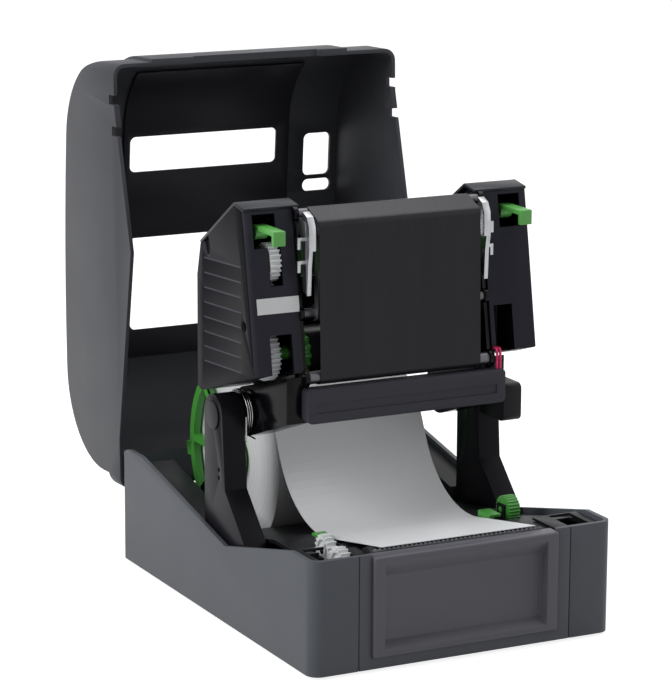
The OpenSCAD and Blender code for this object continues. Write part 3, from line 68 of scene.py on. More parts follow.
def white_rays(tree):
    """1 where the camera, a mirror or a pane looks at the background, else 0."""
    path = tree.nodes.new("ShaderNodeLightPath")
    pane_or_eye = tree.nodes.new("ShaderNodeMath")
    pane_or_eye.operation = "MAXIMUM"
    tree.links.new(path.outputs["Is Camera Ray"], pane_or_eye.inputs[0])
    tree.links.new(path.outputs["Is Transmission Ray"], pane_or_eye.inputs[1])
    seen = tree.nodes.new("ShaderNodeMath")
    seen.operation = "MAXIMUM"
    tree.links.new(pane_or_eye.outputs[0], seen.inputs[0])
    tree.links.new(path.outputs["Is Glossy Ray"], seen.inputs[1])
    return seen.outputs[0]


FLOOR_HALF = 14
FLOOR_Z = -0.002                   # where the rubber feet stand
FLOOR_SHADE = 0.52
FLOOR_GLOW = 0.84                  # lifts the floor to white where it is looked at
SKY_LIGHT = 0.25                   # what the room's air gives, where white is 1
net = bmesh.new()
bmesh.ops.create_grid(net, x_segments=2, y_segments=2, size=FLOOR_HALF)
for vert in net.verts:
    vert.co.z = FLOOR_Z
floor = from_net(net, "studio_floor")
floor_paint = bpy.data.materials.new("floor paint")
floor_paint.use_nodes = True
tree = floor_paint.node_tree
shader = tree.nodes["Principled BSDF"]
shader.inputs["Base Color"].default_value = (FLOOR_SHADE,) * 3 + (1,)
shader.inputs["Roughness"].default_value = 0.85
shader.inputs["Specular IOR Level"].default_value = 0.1
glow = tree.nodes.new("ShaderNodeMath")
glow.operation = "MULTIPLY"
glow.inputs[1].default_value = FLOOR_GLOW
tree.links.new(white_rays(tree), glow.inputs[0])
shader.inputs["Emission Color"].default_value = (1, 1, 1, 1)
tree.links.new(glow.outputs[0], shader.inputs["Emission Strength"])
floor.data.materials.append(floor_paint)

world = bpy.data.worlds.new("studio")
scene.world = world
world.use_nodes = True
tree = world.node_tree
sky = tree.nodes["Background"]
sky.inputs["Color"].default_value = (1, 1, 1, 1)
level = tree.nodes.new("ShaderNodeMapRange")
level.inputs["To Min"].default_value = SKY_LIGHT
level.inputs["To Max"].default_value = 1.0
tree.links.new(white_rays(tree), level.inputs["Value"])
tree.links.new(level.outputs[0], sky.inputs["Strength"])


def lamp(name, at, aim, size, power):
    """A square soft box at a place, turned to what it lights."""
    light = bpy.data.lights.new(name, "AREA")
    light.shape = "SQUARE"
    light.size = size
    light.energy = power
    box = bpy.data.objects.new(name, light)
    scene.collection.objects.link(box)
    box.location = at
    box.rotation_euler = (Vector(aim) - Vector(at)).to_track_quat("-Z", "Y").to_euler()


lamp("lamp_left", (-2.3, 0.05, 1.3), (0, 0, 0.12), 1.5, 36)
lamp("lamp_right", (1.7, -1.5, 1.1), (0, 0, 0.15), 1.6, 6)
lamp("lamp_above", (0.6, 0.3, 2.3), (0, 0, 0.1), 1.8, 28)

CAMERA_AT = (-0.853, -1.63607, 0.57433)
CAMERA_TURN, CAMERA_TILT, CAMERA_ROLL = 27.11, -12.71, 0.29      # degrees
LENS_MM, SENSOR_MM = 156.7, 36
lens = bpy.data.cameras.new("camera")
lens.sensor_width = SENSOR_MM
lens.lens = LENS_MM
camera = bpy.data.objects.new("camera", lens)
scene.collection.objects.link(camera)
turn, tilt, roll = (math.radians(a) for a in (CAMERA_TURN, CAMERA_TILT, CAMERA_ROLL))
ahead = Vector((math.sin(turn) * math.cos(tilt), math.cos(turn) * math.cos(tilt), math.sin(tilt)))
level_right = Vector((math.cos(turn), -math.sin(turn), 0))
level_up = level_right.cross(ahead)
right = level_right * math.cos(roll) + level_up * math.sin(roll)
up = level_up * math.cos(roll) - level_right * math.sin(roll)
camera.matrix_world = Matrix.Translation(CAMERA_AT) @ Matrix(
    (right, up, -ahead)).transposed().to_4x4()
scene.camera = camera
scene.view_settings.view_transform = "Standard"


# ---- Lower case ---------------------------------------------------------------------------
# The lower case is one injection moulding in mid-grey ABS with a fine spark-eroded grain.
# Its rim dips at the sides, and its outer edges are slightly rounded by the tool.

def new_group(name, ins, outs):
    """A shader node group with named inputs (name, kind, value) and outputs (name, kind)."""
    group = bpy.data.node_groups.new(name, "ShaderNodeTree")
    for label, kind, value in ins:
        made = group.interface.new_socket(name=label, in_out="INPUT", socket_type=kind)
        if value is not None:
            made.default_value = value
    for label, kind in outs:
        group.interface.new_socket(name=label, in_out="OUTPUT", socket_type=kind)
    return group, group.nodes.new("NodeGroupInput"), group.nodes.new("NodeGroupOutput")


# Grain of a moulded surface: small pits, slow changes of shade and rubbed gloss
grain, g_in, g_out = new_group("moulded grain", [
    ("Colour", "NodeSocketColor", None), ("Shade Spread", "NodeSocketFloat", 0.08),
    ("Pits Per Metre", "NodeSocketFloat", 1500.0), ("Pit Depth", "NodeSocketFloat", 0.12),
    ("Roughness", "NodeSocketFloat", 0.5), ("Rubbed", "NodeSocketFloat", 0.12)],
    [("Colour", "NodeSocketColor"), ("Roughness", "NodeSocketFloat"),
     ("Normal", "NodeSocketVector")])
place = grain.nodes.new("ShaderNodeTexCoord")
pits = grain.nodes.new("ShaderNodeTexNoise")
pits.inputs["Detail"].default_value = 3
pits.inputs["Roughness"].default_value = 0.65
grain.links.new(place.outputs["Object"], pits.inputs["Vector"])
grain.links.new(g_in.outputs["Pits Per Metre"], pits.inputs["Scale"])
bump = grain.nodes.new("ShaderNodeBump")
bump.inputs["Distance"].default_value = 0.0003
grain.links.new(g_in.outputs["Pit Depth"], bump.inputs["Strength"])
grain.links.new(pits.outputs["Fac"], bump.inputs["Height"])
grain.links.new(bump.outputs["Normal"], g_out.inputs["Normal"])
clouds = grain.nodes.new("ShaderNodeTexNoise")
clouds.inputs["Scale"].default_value = 28
clouds.inputs["Detail"].default_value = 5
grain.links.new(place.outputs["Object"], clouds.inputs["Vector"])
swing = grain.nodes.new("ShaderNodeMath")
swing.operation = "SUBTRACT"
swing.inputs[1].default_value = 0.5
grain.links.new(clouds.outputs["Fac"], swing.inputs[0])
fine = grain.nodes.new("ShaderNodeMath")
fine.operation = "SUBTRACT"
fine.inputs[1].default_value = 0.5
grain.links.new(pits.outputs["Fac"], fine.inputs[0])
both = grain.nodes.new("ShaderNodeMath")
both.operation = "MULTIPLY_ADD"
both.inputs[1].default_value = 0.6
grain.links.new(fine.outputs[0], both.inputs[0])
grain.links.new(swing.outputs[0], both.inputs[2])
shade = grain.nodes.new("ShaderNodeMath")
shade.operation = "MULTIPLY_ADD"
shade.inputs[2].default_value = 1.0
grain.links.new(both.outputs[0], shade.inputs[0])
grain.links.new(g_in.outputs["Shade Spread"], shade.inputs[1])
tint = grain.nodes.new("ShaderNodeHueSaturation")
grain.links.new(shade.outputs[0], tint.inputs["Value"])
grain.links.new(g_in.outputs["Colour"], tint.inputs["Color"])
grain.links.new(tint.outputs["Color"], g_out.inputs["Colour"])
rub = grain.nodes.new("ShaderNodeMath")
rub.operation = "MULTIPLY_ADD"
grain.links.new(swing.outputs[0], rub.inputs[0])
grain.links.new(g_in.outputs["Rubbed"], rub.inputs[1])
grain.links.new(g_in.outputs["Roughness"], rub.inputs[2])
grain.links.new(rub.outputs[0], g_out.inputs["Roughness"])


def moulded(name, rgb, rough=0.5, pits=1500.0, depth=0.12, spread=0.08, shine=0.5, coat=0.0):
    """A moulded plastic: its colour on screen, roughness, and the pits of its grain."""
    paint = bpy.data.materials.new(name)
    paint.use_nodes = True
    tree = paint.node_tree
    shader = tree.nodes["Principled BSDF"]
    surface = tree.nodes.new("ShaderNodeGroup")
    surface.node_tree = grain
    surface.inputs["Colour"].default_value = linear(rgb)
    surface.inputs["Shade Spread"].default_value = spread
    surface.inputs["Pits Per Metre"].default_value = pits
    surface.inputs["Pit Depth"].default_value = depth
    surface.inputs["Roughness"].default_value = rough
    tree.links.new(surface.outputs["Colour"], shader.inputs["Base Color"])
    tree.links.new(surface.outputs["Roughness"], shader.inputs["Roughness"])
    tree.links.new(surface.outputs["Normal"], shader.inputs["Normal"])
    shader.inputs["Specular IOR Level"].default_value = shine
    shader.inputs["Coat Weight"].default_value = coat
    shader.inputs["Coat Roughness"].default_value = 0.15
    return paint


def smoothed(thing, angle):
    """Smooth shading that keeps every edge sharper than the angle."""
    for face in thing.data.polygons:
        face.use_smooth = True
    thing.data.set_sharp_from_angle(angle=math.radians(angle))
    return thing


def finished(thing, paint, body):
    """Gives a made piece its paint and its body."""
    thing.data.materials.clear()
    thing.data.materials.append(paint)
    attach(thing, body)
    return thing


def dressed(node, body, paint, edge=0.4, sharp=32, rounds=(), cuts=()):
    """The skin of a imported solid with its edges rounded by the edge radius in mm. Each of
    rounds is (test of an edge's middle in mm, radius in mm), each of cuts a solid to cut out."""
    net = bmesh.new()
    net.from_mesh(nodes[node].data)
    bmesh.ops.remove_doubles(net, verts=net.verts, dist=2e-6)
    skin = from_net(net, node + "_skin")
    for cut in cuts:
        tool = skin.modifiers.new("cut", "BOOLEAN")
        tool.object = cut
        tool.solver = "EXACT"
    if cuts:
        done = bpy.data.meshes.new_from_object(skin.evaluated_get(
            bpy.context.evaluated_depsgraph_get()))
        skin.modifiers.clear()
        skin.data = done
        for cut in cuts:
            bpy.data.objects.remove(cut)
    net = bmesh.new()
    net.from_mesh(skin.data)
    bmesh.ops.remove_doubles(net, verts=net.verts, dist=2e-6)
    bmesh.ops.dissolve_limit(net, angle_limit=math.radians(0.5), verts=net.verts,
                             edges=net.edges)

    def corners(test=None):
        return [e for e in net.edges if len(e.link_faces) == 2
                and e.calc_face_angle(0) > math.radians(sharp)
                and (test is None or test((e.verts[0].co + e.verts[1].co) * 500, e))]
    for test, radius in rounds:
        bmesh.ops.bevel(net, geom=corners(test), offset=radius / 1000, offset_type="OFFSET",
                        segments=5, profile=0.5, affect="EDGES", clamp_overlap=True)
    if edge:
        bmesh.ops.bevel(net, geom=corners(), offset=edge / 1000, offset_type="OFFSET",
                        segments=2, profile=0.5, affect="EDGES", clamp_overlap=True)
    net.to_mesh(skin.data)
    net.free()
    smoothed(skin, 30)
    finished(skin, paint, body)
    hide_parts(node)
    return skin


case_grey = moulded("case grey", (84, 87, 93), rough=0.52, pits=1700, depth=0.10, shine=0.25)
dressed("lower_case", "base", case_grey, edge=0.5)


# ---- Front panel --------------------------------------------------------------------------
# A darker snap-in moulding with a wide finger scoop, which comes off to clear the label path.
# Its edges and the slopes of the scoop are more rounded than the case's.

panel_dark = moulded("panel dark", (92, 91, 98), rough=0.44, pits=1900, depth=0.07, shine=0.3)
FACE_Y, RIM_X, RIM_LOW, RIM_HIGH = -142.7, 62, 8, 68      # mm, the panel's face and its rim
dressed("front_panel", "base", panel_dark, edge=0.5, rounds=[
    (lambda at, e: at.y < FACE_Y and (abs(at.x) > RIM_X or at.z > RIM_HIGH
                                      or at.z < RIM_LOW), 1.4)])


# ---- Inner frame, deck plates and chute ---------------------------------------------------
# One black moulding hangs in the case: side rails, the well of the platen, the chute under
# the labels and the roll's round bay. Two thin plates close its deck beside the well.

def repaint(name, paint):
    """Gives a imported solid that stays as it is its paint."""
    nodes[name].data.materials.clear()
    nodes[name].data.materials.append(paint)


inner_black = moulded("inner black", (20, 20, 24), rough=0.42, pits=1900, depth=0.07,
                      spread=0.12, shine=0.15)
dressed("inner_frame", "base", inner_black, edge=0.35)
dressed("deck_end_plates", "base", inner_black, edge=0.3)
repaint("media_sensor", inner_black)


# ---- Feet, case screws and the rear sockets -----------------------------------------------
# Four rubber discs under the case, the screws that hold the frame, and behind the rear wall
# a small board with the data socket, the power socket and the rocker switch.

foot_rubber = moulded("foot rubber", (38, 38, 40), rough=0.8, pits=900, depth=0.25, shine=0.3)
repaint("case_feet", foot_rubber)
repaint("rear_ports", inner_black)
dressed("power_switch", "switch", inner_black, edge=0.4)

# Rolled, ground or plated steel: fine lines along X and slow changes of gloss
lay, l_in, l_out = new_group("metal lay", [
    ("Colour", "NodeSocketColor", None), ("Lines Per Metre", "NodeSocketFloat", 900.0),
    ("Line Depth", "NodeSocketFloat", 0.05), ("Roughness", "NodeSocketFloat", 0.3)],
    [("Colour", "NodeSocketColor"), ("Roughness", "NodeSocketFloat"),
     ("Normal", "NodeSocketVector")])
place = lay.nodes.new("ShaderNodeTexCoord")
stretch = lay.nodes.new("ShaderNodeMapping")
stretch.inputs["Scale"].default_value = (0.04, 1, 1)
lay.links.new(place.outputs["Object"], stretch.inputs["Vector"])
lines = lay.nodes.new("ShaderNodeTexNoise")
lines.inputs["Detail"].default_value = 4
lay.links.new(stretch.outputs[0], lines.inputs["Vector"])
lay.links.new(l_in.outputs["Lines Per Metre"], lines.inputs["Scale"])
bump = lay.nodes.new("ShaderNodeBump")
bump.inputs["Distance"].default_value = 0.0002
lay.links.new(l_in.outputs["Line Depth"], bump.inputs["Strength"])
lay.links.new(lines.outputs["Fac"], bump.inputs["Height"])
lay.links.new(bump.outputs["Normal"], l_out.inputs["Normal"])
patches = lay.nodes.new("ShaderNodeTexNoise")
patches.inputs["Scale"].default_value = 60
patches.inputs["Detail"].default_value = 4
lay.links.new(place.outputs["Object"], patches.inputs["Vector"])
gloss = lay.nodes.new("ShaderNodeMath")
gloss.operation = "MULTIPLY_ADD"
gloss.inputs[1].default_value = 0.22
lay.links.new(patches.outputs["Fac"], gloss.inputs[0])
lay.links.new(l_in.outputs["Roughness"], gloss.inputs[2])
less = lay.nodes.new("ShaderNodeMath")
less.operation = "SUBTRACT"
less.inputs[1].default_value = 0.11
lay.links.new(gloss.outputs[0], less.inputs[0])
lay.links.new(less.outputs[0], l_out.inputs["Roughness"])
worn = lay.nodes.new("ShaderNodeMapRange")
worn.inputs["To Min"].default_value = 0.86
worn.inputs["To Max"].default_value = 1.1
lay.links.new(lines.outputs["Fac"], worn.inputs["Value"])
tone = lay.nodes.new("ShaderNodeHueSaturation")
lay.links.new(worn.outputs[0], tone.inputs["Value"])
lay.links.new(l_in.outputs["Colour"], tone.inputs["Color"])
lay.links.new(tone.outputs["Color"], l_out.inputs["Colour"])


def metal(name, rgb, rough=0.3, lines=900.0, depth=0.05):
    """A bare or plated metal: its colour on screen, roughness and the lines of its lay."""
    paint = bpy.data.materials.new(name)
    paint.use_nodes = True
    tree = paint.node_tree
    shader = tree.nodes["Principled BSDF"]
    shader.inputs["Metallic"].default_value = 1
    surface = tree.nodes.new("ShaderNodeGroup")
    surface.node_tree = lay
    surface.inputs["Colour"].default_value = linear(rgb)
    surface.inputs["Lines Per Metre"].default_value = lines
    surface.inputs["Line Depth"].default_value = depth
    surface.inputs["Roughness"].default_value = rough
    for label, goal in (("Colour", "Base Color"), ("Roughness", "Roughness"),
                        ("Normal", "Normal")):
        tree.links.new(surface.outputs[label], shader.inputs[goal])
    return paint


ground_steel = metal("ground steel", (168, 168, 166), rough=0.26, lines=1400)
plated_steel = metal("plated steel", (166, 168, 171), rough=0.34, lines=500, depth=0.08)
repaint("case_screws", plated_steel)


# ---- Arms, caps, cable cover and pivot pins -----------------------------------------------
# Two black arms stand on the side rails and carry the mechanism on steel pins. A domed cap
# closes each pin's hole, and on the right a cover leads the cable over the pivot.

arm_satin = moulded("arm satin", (28, 28, 33), rough=0.3, pits=2200, depth=0.05, shine=0.07)
ARM_OUT, ARM_LOW, ARM_HIGH = 96.8, 46, 136                # mm, the arms' outer sides
for side in ("arm_left", "arm_right"):
    dressed(side, "base", arm_satin, edge=0.35, rounds=[
        (lambda at, e: abs(at.x) > ARM_OUT and ARM_LOW < at.z < ARM_HIGH, 1.8)])
dressed("arm_caps", "base", inner_black, edge=0.5)
dressed("cable_cover", "base", inner_black, edge=0.9)
repaint("mech_pivot_pins", ground_steel)
repaint("lid_hinge_pins", ground_steel)


# ---- Torsion spring of the mechanism ------------------------------------------------------
# Hard-drawn wire, one millimetre thick, wound round the boss of the left arm. One leg runs
# down the arm, the other forward along the mechanism's lobe, and it lifts the mechanism.

wound = bpy.data.node_groups.new("wound wire", "GeometryNodeTree")
wound.is_modifier = True
for label, kind, value in (("Turns", "NodeSocketFloat", 3.75), ("Coil Radius", "NodeSocketFloat",
        0.014), ("Length", "NodeSocketFloat", 0.0054), ("Wire Radius", "NodeSocketFloat", 0.0005),
        ("Leg", "NodeSocketFloat", 0.016), ("Paint", "NodeSocketMaterial", None)):
    made = wound.interface.new_socket(name=label, in_out="INPUT", socket_type=kind)
    if value is not None:
        made.default_value = value
wound.interface.new_socket(name="Geometry", in_out="OUTPUT", socket_type="NodeSocketGeometry")
w_in = wound.nodes.new("NodeGroupInput")
w_out = wound.nodes.new("NodeGroupOutput")
coil = wound.nodes.new("GeometryNodeCurveSpiral")
coil.inputs["Resolution"].default_value = 40
wound.links.new(w_in.outputs["Turns"], coil.inputs["Rotations"])
wound.links.new(w_in.outputs["Coil Radius"], coil.inputs["Start Radius"])
wound.links.new(w_in.outputs["Coil Radius"], coil.inputs["End Radius"])
wound.links.new(w_in.outputs["Length"], coil.inputs["Height"])
profile = wound.nodes.new("GeometryNodeCurvePrimitiveCircle")
profile.inputs["Resolution"].default_value = 12
wound.links.new(w_in.outputs["Wire Radius"], profile.inputs["Radius"])
tube = wound.nodes.new("GeometryNodeCurveToMesh")
tube.inputs["Fill Caps"].default_value = True
wound.links.new(coil.outputs["Curve"], tube.inputs["Curve"])
wound.links.new(profile.outputs["Curve"], tube.inputs["Profile Curve"])
leg = wound.nodes.new("GeometryNodeMeshCylinder")
leg.inputs["Vertices"].default_value = 12
wound.links.new(w_in.outputs["Wire Radius"], leg.inputs["Radius"])
wound.links.new(w_in.outputs["Leg"], leg.inputs["Depth"])
joined = wound.nodes.new("GeometryNodeJoinGeometry")


def leg_at(place, turn):
    """One leg of the spring, moved to its end of the coil."""
    move = wound.nodes.new("GeometryNodeTransform")
    wound.links.new(leg.outputs["Mesh"], move.inputs["Geometry"])
    move.inputs["Translation"].default_value = place
    move.inputs["Rotation"].default_value = turn
    wound.links.new(move.outputs["Geometry"], joined.inputs["Geometry"])


leg_at((0.014, -0.008, 0.0), (math.pi / 2, 0, 0))
leg_at((0.008, -0.014, 0.0054), (0, math.pi / 2, 0))
wound.links.new(tube.outputs["Mesh"], joined.inputs["Geometry"])
real = wound.nodes.new("GeometryNodeRealizeInstances")
wound.links.new(joined.outputs["Geometry"], real.inputs["Geometry"])
dye = wound.nodes.new("GeometryNodeSetMaterial")
wound.links.new(real.outputs["Geometry"], dye.inputs["Geometry"])
wound.links.new(w_in.outputs["Paint"], dye.inputs["Material"])
wound.links.new(dye.outputs["Geometry"], w_out.inputs["Geometry"])


def grown(name, group, values, place):
    """The plain mesh that a geometry node tree makes with the named input values, placed."""
    seed = bpy.data.objects.new(name, bpy.data.meshes.new(name))
    scene.collection.objects.link(seed)
    made = seed.modifiers.new("grow", "NODES")
    made.node_group = group
    for item in group.interface.items_tree:
        if item.item_type == "SOCKET" and item.in_out == "INPUT" and item.name in values:
            made[item.identifier] = values[item.name]
    mesh = bpy.data.meshes.new_from_object(seed.evaluated_get(
        bpy.context.evaluated_depsgraph_get()))
    seed.modifiers.clear()
    seed.data = mesh
    mesh.transform(place)
    if place.determinant() < 0:
        mesh.flip_normals()
    return smoothed(seed, 50)


def pin(joint):
    """Where a joint's axis stands in the side view, (y, z) in mm."""
    place = next(j["pos_m"] for j in frame["joints"] if j["name"] == joint)
    return place[1] * 1000, place[2] * 1000


SPRING_X = -81.2                   # mm, where the coil starts, beside the left arm
PIVOT_Y, PIVOT_Z = pin("mech_pivot")
spring_steel = metal("spring steel", (158, 158, 157), rough=0.22, lines=2000, depth=0.03)
spring = grown("torsion_spring", wound, {"Paint": spring_steel},
               Matrix.Translation(Vector((SPRING_X, PIVOT_Y, PIVOT_Z)) / 1000) @ Matrix(
                   ((0, 0, 1, 0), (-1, 0, 0, 0), (0, 1, 0, 0), (0, 0, 0, 1))))
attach(spring, "base")
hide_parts("hinge_spring")


# ---- Platen, tear bar and drive gears -----------------------------------------------------
# A ground rubber roller on a steel shaft runs in white bushes behind a toothed tear bar.
# The motor below turns it through white acetal gears, whose sides are recessed between spokes.

platen_rubber = moulded("platen rubber", (30, 30, 32), rough=0.62, pits=2600, depth=0.2,
                        shine=0.35)
repaint("platen_roller", platen_rubber)
repaint("platen_shaft", ground_steel)
repaint("tear_bar", plated_steel)
repaint("drive_motor", plated_steel)
gear_white = moulded("gear white", (226, 228, 230), rough=0.38, pits=1300, depth=0.04,
                     spread=0.05, shine=0.45)
repaint("platen_bushes", gear_white)


def flat_solid(name, x, points):
    """An outline in the side view, (y, z) in mm, drawn out from x[0] to x[1] mm."""
    net = bmesh.new()
    rings = [[net.verts.new((a / 1000, p[0] / 1000, p[1] / 1000)) for p in points] for a in x]
    n = len(points)
    for i in range(n):
        net.faces.new((rings[0][i], rings[0][(i + 1) % n], rings[1][(i + 1) % n], rings[1][i]))
    net.faces.new(list(reversed(rings[0])))
    net.faces.new(rings[1])
    bmesh.ops.recalc_face_normals(net, faces=net.faces)
    return smoothed(from_net(net, name), 30)


def spoke_pocket(name, x, at, inner, outer, start, end):
    """A sector of a ring in the side view, from which a gear's side is recessed."""
    steps = 8
    turns = [math.radians(start + (end - start) * i / steps) for i in range(steps + 1)]
    points = [(at[0] + outer * math.cos(a), at[1] + outer * math.sin(a)) for a in turns]
    points += [(at[0] + inner * math.cos(a), at[1] + inner * math.sin(a))
               for a in reversed(turns)]
    return flat_solid(name, x, points)


def gear(node, body, at, hub, rim, face_x, spokes, depth):
    """A gear with recessed sectors between its spokes in the side at face_x."""
    step = 360 / spokes
    cuts = [spoke_pocket("pocket", (face_x - 1, face_x + depth), at, hub, rim,
                         i * step + 9, (i + 1) * step - 9) for i in range(spokes)]
    return dressed(node, body, gear_white, edge=0.12, sharp=50, cuts=cuts)


DRIVE_GEAR_SIDE = -76
gear("platen_gear", "platen", pin("platen_spin"), 4.6, 7.4, DRIVE_GEAR_SIDE, 3, 1.6)
repaint("motor_pinion", gear_white)
gear("drive_idler", "idler", pin("idler_spin"), 4.2, 9.2, DRIVE_GEAR_SIDE, 4, 1.6)
gear("ribbon_drive_gear", "ribbon_drive", pin("ribbon_drive_spin"), 4.0, 6.5,
     DRIVE_GEAR_SIDE, 3, 1.6)


# ---- Main board ---------------------------------------------------------------------------
# The green circuit board stands on four posts under the roll's bay. It shows only from below
# or with the frame lifted out, so its lacquer is enough.

board_green = moulded("board green", (28, 92, 58), rough=0.3, pits=700, depth=0.1, coat=0.4)
repaint("main_board", board_green)


# ---- Label roll, its core and the label web -----------------------------------------------
# White coated paper wound on a cardboard core. From the side the layers show as fine rings,
# and the loose web runs from the roll's front over the platen to a straight end.

ROLL_Y, ROLL_Z = pin("roll_spin")
paper = bpy.data.materials.new("coated paper")
paper.use_nodes = True
tree = paper.node_tree
shader = tree.nodes["Principled BSDF"]
shader.inputs["Specular IOR Level"].default_value = 0.3
place = tree.nodes.new("ShaderNodeTexCoord")
centre = tree.nodes.new("ShaderNodeMapping")
centre.inputs["Location"].default_value = (0, -ROLL_Y / 1000, -ROLL_Z / 1000)
centre.inputs["Scale"].default_value = (0, 1, 1)
tree.links.new(place.outputs["Object"], centre.inputs["Vector"])
reach = tree.nodes.new("ShaderNodeVectorMath")
reach.operation = "LENGTH"
tree.links.new(centre.outputs[0], reach.inputs[0])
count = tree.nodes.new("ShaderNodeMath")
count.operation = "MULTIPLY"
count.inputs[1].default_value = 900
tree.links.new(reach.outputs["Value"], count.inputs[0])
rings = tree.nodes.new("ShaderNodeTexNoise")
rings.noise_dimensions = "1D"
rings.inputs["Scale"].default_value = 1
rings.inputs["Detail"].default_value = 3
tree.links.new(count.outputs[0], rings.inputs["W"])
fibre = tree.nodes.new("ShaderNodeTexNoise")
fibre.inputs["Scale"].default_value = 1200
fibre.inputs["Detail"].default_value = 2
tree.links.new(place.outputs["Object"], fibre.inputs["Vector"])
layers = tree.nodes.new("ShaderNodeMix")
layers.data_type = "RGBA"
layers.inputs["A"].default_value = linear((196, 198, 200))
layers.inputs["B"].default_value = linear((240, 241, 242))
tree.links.new(rings.outputs["Fac"], layers.inputs["Factor"])
tree.links.new(layers.outputs["Result"], shader.inputs["Base Color"])
sheen = tree.nodes.new("ShaderNodeMapRange")
sheen.inputs["To Min"].default_value = 0.48
sheen.inputs["To Max"].default_value = 0.66
tree.links.new(fibre.outputs["Fac"], sheen.inputs["Value"])
tree.links.new(sheen.outputs[0], shader.inputs["Roughness"])
bump = tree.nodes.new("ShaderNodeBump")
bump.inputs["Strength"].default_value = 0.08
bump.inputs["Distance"].default_value = 0.0002
tree.links.new(fibre.outputs["Fac"], bump.inputs["Height"])
tree.links.new(bump.outputs["Normal"], shader.inputs["Normal"])
repaint("label_roll", paper)

liner = moulded("label face", (232, 234, 236), rough=0.5, pits=1100, depth=0.05, spread=0.03,
                shine=0.35)
card = moulded("plain cardboard", (168, 143, 110), rough=0.8, pits=700, depth=0.3, spread=0.2,
               shine=0.2)
repaint("roll_core", card)
repaint("label_web", liner)


# ---- Roll holders, label guides and thumbwheel --------------------------------------------
# The pieces that a hand moves are green: the two roll holders with their spokes and levers,
# the low label guides beside the web, and the knurled wheel that spreads them.

touch_green = moulded("touch green", (74, 158, 62), rough=0.36, pits=1500, depth=0.05,
                      spread=0.1, shine=0.5)
for side in ("left", "right"):
    dressed("roll_holder_" + side, side + "_holder", touch_green, edge=0.7,
            sharp=40)
    dressed("guide_" + side, side + "_guide", touch_green, edge=0.6)
dressed("guide_knob", "thumbwheel", touch_green, edge=0.2, sharp=45)


# ---- Lid ----------------------------------------------------------------------------------
# One grey moulding with a raised middle. A liner inside holds two clear panes, steps
# stiffen it, and the rim has two notches at each side and a grip at the front. The liner is
# painted darker than the shell, as painted shade inside the lid.

lid_grey = moulded("lid grey", (61, 62, 67), rough=0.5, pits=1700, depth=0.10, shine=0.25)
dressed("lid_shell", "lid", lid_grey, edge=0.45, sharp=28)
# Painted shade: the liner's colour is darker than the shell's for the shade inside the lid.
liner_painted_shade = moulded("liner painted shade", (44, 43, 50), rough=0.42, pits=1700, depth=0.08, shine=0.15)
dressed("lid_liner", "lid", liner_painted_shade, edge=0.3)

pane = bpy.data.materials.new("clear pane")
pane.use_nodes = True
tree = pane.node_tree
shader = tree.nodes["Principled BSDF"]
shader.inputs["Base Color"].default_value = (1, 1, 1, 1)
shader.inputs["Transmission Weight"].default_value = 1
shader.inputs["IOR"].default_value = 1.1
smear = tree.nodes.new("ShaderNodeTexNoise")
smear.inputs["Scale"].default_value = 40
place = tree.nodes.new("ShaderNodeTexCoord")
tree.links.new(place.outputs["Object"], smear.inputs["Vector"])
haze = tree.nodes.new("ShaderNodeMapRange")
haze.inputs["To Min"].default_value = 0.0
haze.inputs["To Max"].default_value = 0.05
tree.links.new(smear.outputs["Fac"], haze.inputs["Value"])
tree.links.new(haze.outputs[0], shader.inputs["Roughness"])
repaint("lid_windows", pane)


# ---- Mechanism frame and side covers ------------------------------------------------------
# Black side walls with a lobe round each pivot, joined by a bridge. Each side has a hollow
# cover: the left one with shallow grooves, an oval dish and a screw, the right one with a
# pocket and a swept cut round the cable cover. Grey caps lie on their upper edges.

def rod(name, start, end, radius, edge=0.0):
    """A round bar between two points in mm, its rims rounded by the edge radius."""
    a, b = Vector(start) / 1000, Vector(end) / 1000
    net = bmesh.new()
    bmesh.ops.create_cone(net, cap_ends=True, segments=40, radius1=radius / 1000,
                          radius2=radius / 1000, depth=(b - a).length)
    if edge:
        rims = [e for e in net.edges if e.calc_face_angle(0) > 1.0]
        bmesh.ops.bevel(net, geom=rims, offset=edge / 1000, offset_type="OFFSET", segments=3,
                        profile=0.5, affect="EDGES", clamp_overlap=True)
    net.transform(Matrix.Translation((a + b) / 2) @ (b - a).to_track_quat(
        "Z", "Y").to_matrix().to_4x4())
    return smoothed(from_net(net, name), 40)


lobe_gloss = moulded("lobe gloss", (9, 9, 13), rough=0.18, pits=2200, depth=0.03, shine=0.12)
dressed("mech_frame", "mechanism", lobe_gloss, edge=0.6)

COVER_OUT = 97                     # mm from the middle to a cover's outer side
DISH_AT, DISH_HALF, DISH_LEAN = (-0.0995, 0.0165, 0.2325), (0.0050, 0.0068, 0.0135), -28
SCREW_AT = (-38.8, 188.7)
HOLE_R, SCREW_R = 3.4, 2.9
dish = bmesh.new()
bmesh.ops.create_uvsphere(dish, u_segments=40, v_segments=24, radius=1)
dish.transform(Matrix.Translation(DISH_AT) @ Matrix.Rotation(
    math.radians(DISH_LEAN), 4, "X") @ Matrix.Diagonal(DISH_HALF + (1,)))
dish = from_net(dish, "dish")
screw_hole = rod("hole", (-COVER_OUT - 2, *SCREW_AT), (-COVER_OUT + 6, *SCREW_AT), HOLE_R)
cover_black = moulded("cover black", (56, 56, 64), rough=0.32, pits=2100, depth=0.06, shine=0.025)
